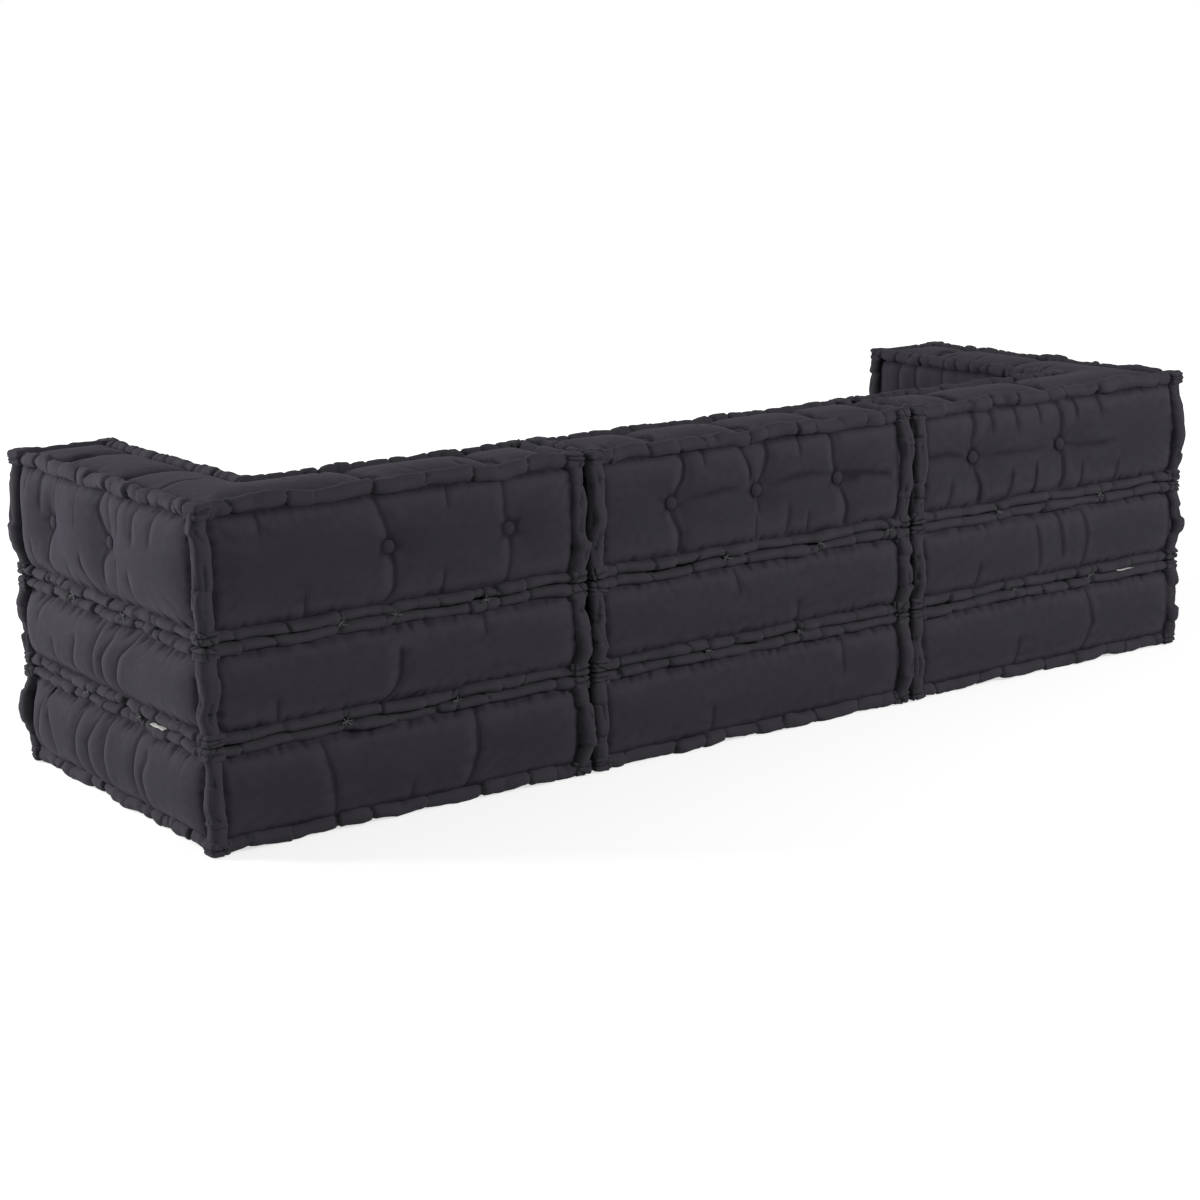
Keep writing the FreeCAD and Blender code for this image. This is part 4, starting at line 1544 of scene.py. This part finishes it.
def make_twine(module):
    """The stars of twine that join the three pads of a module."""
    meshes = []
    pads = [Pad(module, name) for name in PADS]
    for upper_pad in pads[1:]:
        lower_pad = pads[PADS.index(upper_pad.pad) - 1]
        seam = (lower_pad.high + upper_pad.low) / 2
        for side in upper_pad.sides:
            rng = random.Random(upper_pad.seed(90 + upper_pad.sides.index(side)))
            drift = roll_axis(upper_pad, side, False)[1]
            for place in star_places(upper_pad, side, False):
                lift = seam_lift(side, drift, place)
                meshes += star_meshes(side, place, seam + lift, rng)
    name = f"{module}_twine"
    obj = link_object(name, joined(name, meshes))
    place_in_sofa(obj, pads[0])
    obj.data.materials.append(twine_material())
    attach(obj, body_of_module(module))
    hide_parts(f"{module}_joining_stitches")
    return obj


def seam_lift(side, drift, place):
    """How far a seam's wandering line lies above its level at a place."""
    upright = side.along[0] * side.out[1] - side.along[1] * side.out[0]
    return float(drift(np.array([place]))[0]) * upright


def make_tag(module):
    """A blank tape tag that hangs out of the seam between base and seat."""
    pad = Pad(module, "seat")
    node = f"{module}_care_tag"
    low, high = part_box(node)
    side = pad.sides[1] if high.y - low.y > high.x - low.x else pad.sides[0]
    middle = (low + high) / 2
    u = HALF_SIDE - module_sign(module) * (middle.x - module_centre(module))
    v = HALF_SIDE - middle.y
    place = v if side.name == "outer" else u
    length = max(high.x - low.x, high.y - low.y)
    width = min(high.x - low.x, high.y - low.y)
    inner_end = -(u if side.name == "outer" else v) - width / 2
    drift = roll_axis(pad, side, False)[1]
    bm = bmesh.new()
    bmesh.ops.create_grid(bm, x_segments=24, y_segments=8, size=0.5)
    bmesh.ops.solidify(bm, geom=bm.faces, thickness=TAG_THICKNESS / length)
    bmesh.ops.recalc_face_normals(bm, faces=bm.faces)
    mesh = bpy.data.meshes.new(node)
    bm.to_mesh(mesh)
    bm.free()
    flat = mesh_points(mesh)
    s = place + (flat[:, 0] * TAG_SHARE - (1 - TAG_SHARE) / 2) * length
    out = inner_end + (flat[:, 1] + 0.5) * TAG_SHOWN * width
    share = flat[:, 1] + 0.5
    droop = TAG_DROOP * share ** TAG_SAG + TAG_WAVE * np.sin(flat[:, 0] * TAG_WAVES) * share
    points = np.zeros_like(flat)
    points[:, :2] = side.start + s[:, None] * side.along + out[:, None] * side.out
    points[:, 2] = middle.z + seam_lift(side, drift, place) + flat[:, 2] * length - droop
    wrap_uv(mesh, flat[:, 0] * 0, s, 1.0)
    set_mesh_points(mesh, points)
    name = f"{module}_tape_tag"
    obj = link_object(name, mesh)
    place_in_sofa(obj, pad)
    mesh.materials.append(tape_material())
    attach(obj, body_of_module(module))
    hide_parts(node)
    return obj


def dress_buttons_and_cords():
    """Gives the buttons and the tufts' cords their cloth and twine."""
    for name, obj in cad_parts.items():
        if name.endswith("_buttons"):
            finish = button_material()
        elif name.endswith("_tuft_cords"):
            finish = twine_material()
        else:
            continue
        if not obj.material_slots:
            obj.data.materials.append(finish)
        for slot in obj.material_slots:
            slot.material = finish


def finish_rolls(pad, name, meshes, node):
    """One piece of rolled edges, in its place on the sofa."""
    mesh = joined(name, meshes)
    points = mesh_points(mesh)
    keep_clear(points, pad)
    set_mesh_points(mesh, points)
    # Shade is painted into the pinches and creases of the rolls and knots through this stored value
    mark_wear_and_shade(mesh)
    obj = link_object(name, mesh)
    place_in_sofa(obj, pad)
    mesh.materials.append(roll_material())
    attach(obj, body_of_module(pad.module))
    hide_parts(node)
    return obj


def make_rolls(module, pad_name):
    """The rolled edges of one pad."""
    pad = Pad(module, pad_name)
    corners = pad.convex_corners()
    if pad_name == "back" and pad.is_end:
        arm_sides = [side for side in pad.sides if side.name in ("outer", "arm_inner", "arm_front")]
        back_sides = [side for side in pad.sides if side not in arm_sides]
        far = [corner for corner in corners if corner[1] > MODULE_SIDE / 2]
        near = [corner for corner in corners if corner[1] < MODULE_SIDE / 2]
        knee = np.array((ARM_DEPTH, ARM_DEPTH))
        finish_rolls(pad, f"{pad.name}_rolls", roll_group(pad, back_sides, near, near + [knee]),
                     f"{pad.name}_edge_rolls")
        finish_rolls(pad, f"{module}_arm_rolls", roll_group(pad, arm_sides, far, far),
                     f"{module}_arm_edge_rolls")
        return
    finish_rolls(pad, f"{pad.name}_rolls", roll_group(pad, pad.sides, corners, corners),
                 f"{pad.name}_edge_rolls")


# Materials

# The threads lie 2.8 mm apart. The other values are the nap's scale, the sheen, how much painted
# shade a fold gets and how dark it is, and how much a ridge fades and the lint shows
WEAVE_SCALE = 1400.0 / 6.2832 * 0.5
NAP_SCALE = 420.0
CANVAS_SHEEN = 0.10
FOLD_SHADE_SHARE = 0.60
FOLD_SHADE_TONE = 0.30
FADED_SHARE = 0.45
LINT_SHARE = 0.22


def new_material(name):
    """An empty node material and its tree."""
    material = bpy.data.materials.new(name)
    material.use_nodes = True
    material.node_tree.nodes.clear()
    return material, material.node_tree


def add_node(tree, kind, **values):
    """A node with its settings and its unlinked sockets set."""
    node = tree.nodes.new(kind)
    for key, value in values.items():
        if key.startswith("in_"):
            node.inputs[key[3:].replace("_", " ")].default_value = value
        else:
            setattr(node, key, value)
    return node


def cloth_nodes(tree, base, light, roughness, bump, mottle, mapped=True):
    """Canvas: a plain weave, a brushed and mottled nap, and lighter ridges.

    A piece with a weave map also has shade painted into its folds, and on the pads beside the rolls."""
    link = tree.links.new
    places = add_node(tree, "ShaderNodeTexCoord")
    plane = places.outputs["Object"]
    if mapped:
        plane = add_node(tree, "ShaderNodeUVMap", uv_map="Weave").outputs["UV"]
    waves = []
    for axis in ("X", "Y"):
        wave = add_node(tree, "ShaderNodeTexWave", wave_type="BANDS", bands_direction=axis,
                        in_Scale=WEAVE_SCALE, in_Distortion=0.6, in_Detail=1.0)
        wave.inputs["Detail Scale"].default_value = 0.4
        link(plane, wave.inputs["Vector"])
        waves.append(wave)
    threads = add_node(tree, "ShaderNodeMath", operation="MAXIMUM")
    link(waves[0].outputs["Fac"], threads.inputs[0])
    link(waves[1].outputs["Fac"], threads.inputs[1])
    broad = add_node(tree, "ShaderNodeTexNoise", in_Scale=mottle, in_Detail=4.0, in_Roughness=0.6)
    link(places.outputs["Object"], broad.inputs["Vector"])
    nap = add_node(tree, "ShaderNodeTexNoise", in_Scale=NAP_SCALE, in_Detail=3.0, in_Roughness=0.7)
    link(places.outputs["Object"], nap.inputs["Vector"])
    mixed = add_node(tree, "ShaderNodeMix", data_type="RGBA")
    mixed.inputs[6].default_value = (*[c * 0.86 for c in base], 1)
    mixed.inputs[7].default_value = (*[c * 1.14 for c in base], 1)
    link(broad.outputs["Fac"], mixed.inputs["Factor"])
    worn = add_node(tree, "ShaderNodeAttribute", attribute_name="worn")
    ridge = add_node(tree, "ShaderNodeMapRange", in_From_Min=0.55, in_From_Max=1.0,
                     in_To_Max=FADED_SHARE)
    link(worn.outputs["Fac"], ridge.inputs["Value"])
    lifted = add_node(tree, "ShaderNodeMix", data_type="RGBA")
    lifted.inputs[7].default_value = (*light, 1)
    link(ridge.outputs["Result"], lifted.inputs["Factor"])
    link(mixed.outputs[2], lifted.inputs[6])
    toned_colour = lifted.outputs[2]
    # Painted shade: folds and the canvas beside the rolls darken towards a fraction of the base colour
    if mapped:
        fold_shade = add_node(tree, "ShaderNodeMapRange", in_From_Min=0.44, in_From_Max=0.0,
                        in_To_Max=FOLD_SHADE_SHARE)
        link(worn.outputs["Fac"], fold_shade.inputs["Value"])
        sunk = add_node(tree, "ShaderNodeMix", data_type="RGBA")
        sunk.inputs[7].default_value = (*[c * FOLD_SHADE_TONE for c in base], 1)
        link(fold_shade.outputs["Result"], sunk.inputs["Factor"])
        link(toned_colour, sunk.inputs[6])
        toned_colour = sunk.outputs[2]
    lint = add_node(tree, "ShaderNodeMapRange", in_From_Min=0.68, in_From_Max=0.82,
                    in_To_Max=LINT_SHARE)
    link(nap.outputs["Fac"], lint.inputs["Value"])
    flecked = add_node(tree, "ShaderNodeMix", data_type="RGBA")
    flecked.inputs[7].default_value = (*light, 1)
    link(lint.outputs["Result"], flecked.inputs["Factor"])
    link(toned_colour, flecked.inputs[6])
    grain = add_node(tree, "ShaderNodeMath", operation="MULTIPLY_ADD")
    grain.inputs[1].default_value = 0.5
    link(nap.outputs["Fac"], grain.inputs[0])
    link(threads.outputs[0], grain.inputs[2])
    bumped = add_node(tree, "ShaderNodeBump", in_Strength=bump, in_Distance=0.0004)
    link(grain.outputs[0], bumped.inputs["Height"])
    rough = add_node(tree, "ShaderNodeMapRange", in_To_Min=roughness - 0.06,
                     in_To_Max=roughness + 0.05)
    link(broad.outputs["Fac"], rough.inputs["Value"])
    shader = add_node(tree, "ShaderNodeBsdfPrincipled")
    shader.inputs["Sheen Weight"].default_value = CANVAS_SHEEN
    shader.inputs["Sheen Roughness"].default_value = 0.45
    shader.inputs["Sheen Tint"].default_value = (*light, 1)
    shader.inputs["Specular IOR Level"].default_value = 0.15
    link(flecked.outputs[2], shader.inputs["Base Color"])
    link(rough.outputs["Result"], shader.inputs["Roughness"])
    link(bumped.outputs["Normal"], shader.inputs["Normal"])
    output = add_node(tree, "ShaderNodeOutputMaterial")
    link(shader.outputs["BSDF"], output.inputs["Surface"])


def background_rays(tree):
    """One where the camera, a reflection or a refraction looks straight at a surface."""
    rays = add_node(tree, "ShaderNodeLightPath")
    seen = rays.outputs["Is Camera Ray"]
    for name in ("Is Glossy Ray", "Is Transmission Ray"):
        larger = add_node(tree, "ShaderNodeMath", operation="MAXIMUM")
        tree.links.new(seen, larger.inputs[0])
        tree.links.new(rays.outputs[name], larger.inputs[1])
        seen = larger.outputs[0]
    return seen


def canvas_material():
    """Dark brushed canvas of the pads."""
    known = bpy.data.materials.get("dark_canvas")
    if known:
        return known
    material, tree = new_material("dark_canvas")
    look = bpy.context.scene.sofa_look
    cloth_nodes(tree, look.canvas_colour, look.nap_colour, roughness=0.92, bump=0.35, mottle=9.0)
    return material


def roll_material():
    """The same canvas on the rolled edges, a shade darker and more finely mottled."""
    known = bpy.data.materials.get("rolled_canvas")
    if known:
        return known
    material, tree = new_material("rolled_canvas")
    look = bpy.context.scene.sofa_look
    cloth_nodes(tree, look.roll_colour, look.nap_colour, roughness=0.92, bump=0.35, mottle=14.0)
    return material


def button_material():
    """Canvas stretched over the buttons. They have no UV map, so the weave is laid from above."""
    known = bpy.data.materials.get("button_canvas")
    if known:
        return known
    material, tree = new_material("button_canvas")
    look = bpy.context.scene.sofa_look
    cloth_nodes(tree, look.canvas_colour, look.nap_colour, roughness=0.88, bump=0.30, mottle=60.0,
                mapped=False)
    return material


def fibre_material(name, colour, scale, roughness, bump):
    """Plain fibres: a streaky colour and fine grain, for twine and tape."""
    known = bpy.data.materials.get(name)
    if known:
        return known
    material, tree = new_material(name)
    link = tree.links.new
    places = add_node(tree, "ShaderNodeTexCoord")
    streaks = add_node(tree, "ShaderNodeTexNoise", in_Scale=scale, in_Detail=4.0, in_Roughness=0.6)
    link(places.outputs["Object"], streaks.inputs["Vector"])
    tone = add_node(tree, "ShaderNodeMix", data_type="RGBA")
    tone.inputs[6].default_value = (*[c * 0.7 for c in colour], 1)
    tone.inputs[7].default_value = (*[min(1, c * 1.2) for c in colour], 1)
    link(streaks.outputs["Fac"], tone.inputs["Factor"])
    bumped = add_node(tree, "ShaderNodeBump", in_Strength=bump, in_Distance=0.0003)
    link(streaks.outputs["Fac"], bumped.inputs["Height"])
    shader = add_node(tree, "ShaderNodeBsdfPrincipled", in_Roughness=roughness)
    link(tone.outputs[2], shader.inputs["Base Color"])
    link(bumped.outputs["Normal"], shader.inputs["Normal"])
    output = add_node(tree, "ShaderNodeOutputMaterial")
    link(shader.outputs["BSDF"], output.inputs["Surface"])
    return material


def twine_material():
    """Waxed grey twine."""
    colour = bpy.context.scene.sofa_look.twine_colour
    return fibre_material("waxed_twine", colour, scale=1500.0, roughness=0.6, bump=0.5)


def tape_material():
    """White cotton tape."""
    colour = bpy.context.scene.sofa_look.tape_colour
    return fibre_material("white_tape", colour, scale=900.0, roughness=0.85, bump=0.3)


# Stage

# The floor reaches this far from the middle
FLOOR_SIZE = 40
FLOOR_COLOUR = (0.8, 0.8, 0.8, 1)

# How far from the middle the floor starts to turn white, and where it is white
FLOOR_FADE = (1.5, 3.2)

# Where the two lamps stand, where they point, and their sizes
KEY_PLACE = (3.6, -2.4, 1.6)
KEY_TARGET = (0.6, 0.0, 0.25)
KEY_SIZE = 1.6
FILL_PLACE = (-2.3, 4.0, 2.7)
FILL_TARGET = (0.0, 0.0, 0.3)
FILL_SIZE = 1.2

# The camera's place in metres, its angles in degrees (the roll in radians), and its lens in mm
CAMERA_PLACE = (2.5716, 3.5469, 1.1750)
CAMERA_AZIMUTH = -34.98
CAMERA_DROP = 12.73
CAMERA_ROLL = -0.0227
CAMERA_LENS = 73.87


def aim(obj, target):
    """Turns a lamp or a camera to look at a point."""
    direction = Vector(target) - obj.location
    obj.rotation_euler = direction.to_track_quat("-Z", "Y").to_euler()


def area_lamp(name, place, target, size, power):
    """A soft square lamp."""
    lamp = bpy.data.lights.new(name, "AREA")
    lamp.size = size
    lamp.energy = power
    obj = link_object(name, lamp)
    obj.location = place
    aim(obj, target)
    return obj


def floor_material(look):
    """A white floor that keeps the sofa's shadow and fades into the white background."""
    material, tree = new_material("white_floor")
    link = tree.links.new
    places = add_node(tree, "ShaderNodeTexCoord")
    away = add_node(tree, "ShaderNodeVectorMath", operation="LENGTH")
    link(places.outputs["Object"], away.inputs[0])
    glow_at = add_node(tree, "ShaderNodeMapRange", in_From_Min=FLOOR_FADE[0], in_From_Max=FLOOR_FADE[1],
                       in_To_Min=look.floor_glow, in_To_Max=1.0)
    link(away.outputs["Value"], glow_at.inputs["Value"])
    strength = add_node(tree, "ShaderNodeMath", operation="MULTIPLY")
    link(background_rays(tree), strength.inputs[0])
    link(glow_at.outputs["Result"], strength.inputs[1])
    diffuse = add_node(tree, "ShaderNodeBsdfDiffuse", in_Color=FLOOR_COLOUR)
    glow = add_node(tree, "ShaderNodeEmission", in_Color=(1, 1, 1, 1))
    link(strength.outputs[0], glow.inputs["Strength"])
    both = add_node(tree, "ShaderNodeAddShader")
    link(diffuse.outputs[0], both.inputs[0])
    link(glow.outputs[0], both.inputs[1])
    output = add_node(tree, "ShaderNodeOutputMaterial")
    link(both.outputs[0], output.inputs["Surface"])
    return material


def studio_world(look):
    """White where the camera looks, and a soft even light on the sofa."""
    world = bpy.data.worlds.new("studio")
    bpy.context.scene.world = world
    world.use_nodes = True
    tree = world.node_tree
    tree.nodes.clear()
    strength = add_node(tree, "ShaderNodeMapRange", in_To_Min=look.sky_light, in_To_Max=1.0)
    tree.links.new(background_rays(tree), strength.inputs["Value"])
    sky = add_node(tree, "ShaderNodeBackground", in_Color=(1, 1, 1, 1))
    tree.links.new(strength.outputs["Result"], sky.inputs["Strength"])
    output = add_node(tree, "ShaderNodeOutputWorld")
    tree.links.new(sky.outputs[0], output.inputs["Surface"])


def photo_camera():
    """The camera at the photograph's place and angle."""
    azimuth = math.radians(CAMERA_AZIMUTH)
    drop = math.radians(CAMERA_DROP)
    ahead = Vector((math.sin(azimuth) * math.cos(drop), -math.cos(azimuth) * math.cos(drop),
                    -math.sin(drop)))
    right = ahead.cross(Vector((0, 0, 1))).normalized()
    upward = right.cross(ahead)
    tilted_right = right * math.cos(CAMERA_ROLL) + upward * math.sin(CAMERA_ROLL)
    tilted_up = upward * math.cos(CAMERA_ROLL) - right * math.sin(CAMERA_ROLL)
    data = bpy.data.cameras.new("camera")
    data.lens = CAMERA_LENS
    data.sensor_width = 36
    camera = link_object("camera", data)
    turned = Matrix((tilted_right, tilted_up, -ahead)).transposed().to_4x4()
    camera.matrix_world = Matrix.Translation(CAMERA_PLACE) @ turned
    bpy.context.scene.camera = camera
    return camera


# Settings

class SofaLook(bpy.types.PropertyGroup):
    """Sizes and colours that a user would change."""

    canvas_cell: FloatProperty(
        name="Canvas Cell", description="Size of the squares of the pads' cloth net",
        default=0.008, min=0.005, unit="LENGTH")
    start_fullness: FloatProperty(
        name="Start Fullness", description="How full a pad is before its stuffing swells it",
        default=0.85, min=0.0, max=1.0, subtype="FACTOR")
    stuffing_pressure: FloatProperty(
        name="Stuffing Pressure", description="How hard the stuffing presses on the canvas",
        default=4.0, min=0.0)
    stuffing_frames: IntProperty(
        name="Stuffing Frames", description="Steps of the cloth simulation",
        default=20, min=2)
    stuffing_reach: FloatProperty(
        name="Stuffing Reach", description="The farthest that the stuffing may push the canvas",
        default=0.012, min=0.0, unit="LENGTH")
    canvas_bending: FloatProperty(
        name="Canvas Bending", description="How stiff the canvas is against folding",
        default=0.3, min=0.0)
    slack_along_back: FloatProperty(
        name="Slack Along Back", description="Spare canvas along the back",
        default=0.02, min=0.0, subtype="FACTOR")
    slack_along_arm: FloatProperty(
        name="Slack Along Arm", description="Spare canvas along the arm",
        default=0.04, min=0.0, subtype="FACTOR")
    slack_upwards: FloatProperty(
        name="Slack Upwards", description="Spare canvas from seam to seam",
        default=0.02, min=0.0, subtype="FACTOR")
    canvas_colour: FloatVectorProperty(
        name="Canvas Colour", description="Dark canvas of the pads",
        default=(0.040, 0.0355, 0.048), size=3, subtype="COLOR", min=0, max=1)
    roll_colour: FloatVectorProperty(
        name="Roll Colour", description="Canvas of the rolled edges",
        default=(0.038, 0.035, 0.044), size=3, subtype="COLOR", min=0, max=1)
    nap_colour: FloatVectorProperty(
        name="Nap Colour", description="Brushed nap and lint on the ridges",
        default=(0.075, 0.070, 0.083), size=3, subtype="COLOR", min=0, max=1)
    twine_colour: FloatVectorProperty(
        name="Twine Colour", description="Waxed twine of the stars and tufts",
        default=(0.085, 0.083, 0.086), size=3, subtype="COLOR", min=0, max=1)
    tape_colour: FloatVectorProperty(
        name="Tape Colour", description="Cotton tape of the tags",
        default=(0.84, 0.83, 0.81), size=3, subtype="COLOR", min=0, max=1)
    floor_glow: FloatProperty(
        name="Floor Glow", description="White that the camera sees on the floor by the sofa",
        default=0.66, min=0.0)
    sky_light: FloatProperty(
        name="Sky Light", description="Strength of the even light on the sofa",
        default=0.18, min=0.0)
    key_light: FloatProperty(
        name="Key Light", description="Power of the lamp in front of the sofa, on its left",
        default=134.0, min=0.0)
    fill_light: FloatProperty(
        name="Fill Light", description="Power of the lamp behind the sofa, on its right",
        default=114.0, min=0.0)


# Operators and panel

class SOFA_OT_pads(bpy.types.Operator):
    """Make the stuffed pads"""
    bl_idname = "sofa.pads"
    bl_label = "Pads"

    def execute(self, context):
        for module in MODULES:
            for pad in PADS:
                make_pad(module, pad, context.scene.sofa_look)
        return {"FINISHED"}


class SOFA_OT_rolls(bpy.types.Operator):
    """Make the rolled edges and their knots"""
    bl_idname = "sofa.rolls"
    bl_label = "Rolled Edges"

    def execute(self, context):
        for module in MODULES:
            for pad in PADS:
                make_rolls(module, pad)
        return {"FINISHED"}


class SOFA_OT_twine(bpy.types.Operator):
    """Make the stars of twine that join the pads"""
    bl_idname = "sofa.twine"
    bl_label = "Twine"

    def execute(self, context):
        for module in MODULES:
            make_twine(module)
        return {"FINISHED"}


class SOFA_OT_tags(bpy.types.Operator):
    """Make the blank tape tags of the end modules"""
    bl_idname = "sofa.tags"
    bl_label = "Tape Tags"

    def execute(self, context):
        for module in (MODULES[0], MODULES[-1]):
            make_tag(module)
        return {"FINISHED"}


class SOFA_OT_buttons(bpy.types.Operator):
    """Cover the buttons and finish the cords of the tufts"""
    bl_idname = "sofa.buttons"
    bl_label = "Buttons"

    def execute(self, context):
        dress_buttons_and_cords()
        return {"FINISHED"}


class SOFA_OT_stage(bpy.types.Operator):
    """Make the floor, the lamps, the world and the camera"""
    bl_idname = "sofa.stage"
    bl_label = "Stage"

    def execute(self, context):
        look = context.scene.sofa_look
        context.scene.view_settings.view_transform = "Standard"
        bm = bmesh.new()
        bmesh.ops.create_grid(bm, x_segments=1, y_segments=1, size=FLOOR_SIZE)
        mesh = bpy.data.meshes.new("floor")
        bm.to_mesh(mesh)
        bm.free()
        floor = link_object("floor", mesh)
        mesh.materials.append(floor_material(look))
        studio_world(look)
        area_lamp("key", KEY_PLACE, KEY_TARGET, KEY_SIZE, look.key_light)
        area_lamp("fill", FILL_PLACE, FILL_TARGET, FILL_SIZE, look.fill_light)
        photo_camera()
        return {"FINISHED"}


class SOFA_PT_panel(bpy.types.Panel):
    """Lists the sofa's settings and steps"""
    bl_idname = "SOFA_PT_panel"
    bl_label = "Floor Sofa"
    bl_space_type = "VIEW_3D"
    bl_region_type = "UI"
    bl_category = "Sofa"

    def draw(self, context):
        for operator in OPERATORS:
            self.layout.operator(operator.bl_idname)
        for name in SofaLook.__annotations__:
            self.layout.prop(context.scene.sofa_look, name)


OPERATORS = (SOFA_OT_pads, SOFA_OT_rolls, SOFA_OT_twine, SOFA_OT_tags, SOFA_OT_buttons, SOFA_OT_stage)
CLASSES = (SofaLook, *OPERATORS, SOFA_PT_panel)


def register():
    for cls in CLASSES:
        bpy.utils.register_class(cls)
    bpy.types.Scene.sofa_look = PointerProperty(type=SofaLook)


def unregister():
    del bpy.types.Scene.sofa_look
    for cls in reversed(CLASSES):
        bpy.utils.unregister_class(cls)


def main():
    """Makes the sofa piece by piece."""
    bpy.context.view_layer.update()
    register()
    bpy.ops.sofa.pads()
    bpy.ops.sofa.rolls()
    bpy.ops.sofa.twine()
    bpy.ops.sofa.tags()
    bpy.ops.sofa.buttons()
    bpy.ops.sofa.stage()


if __name__ == "__main__":
    main()
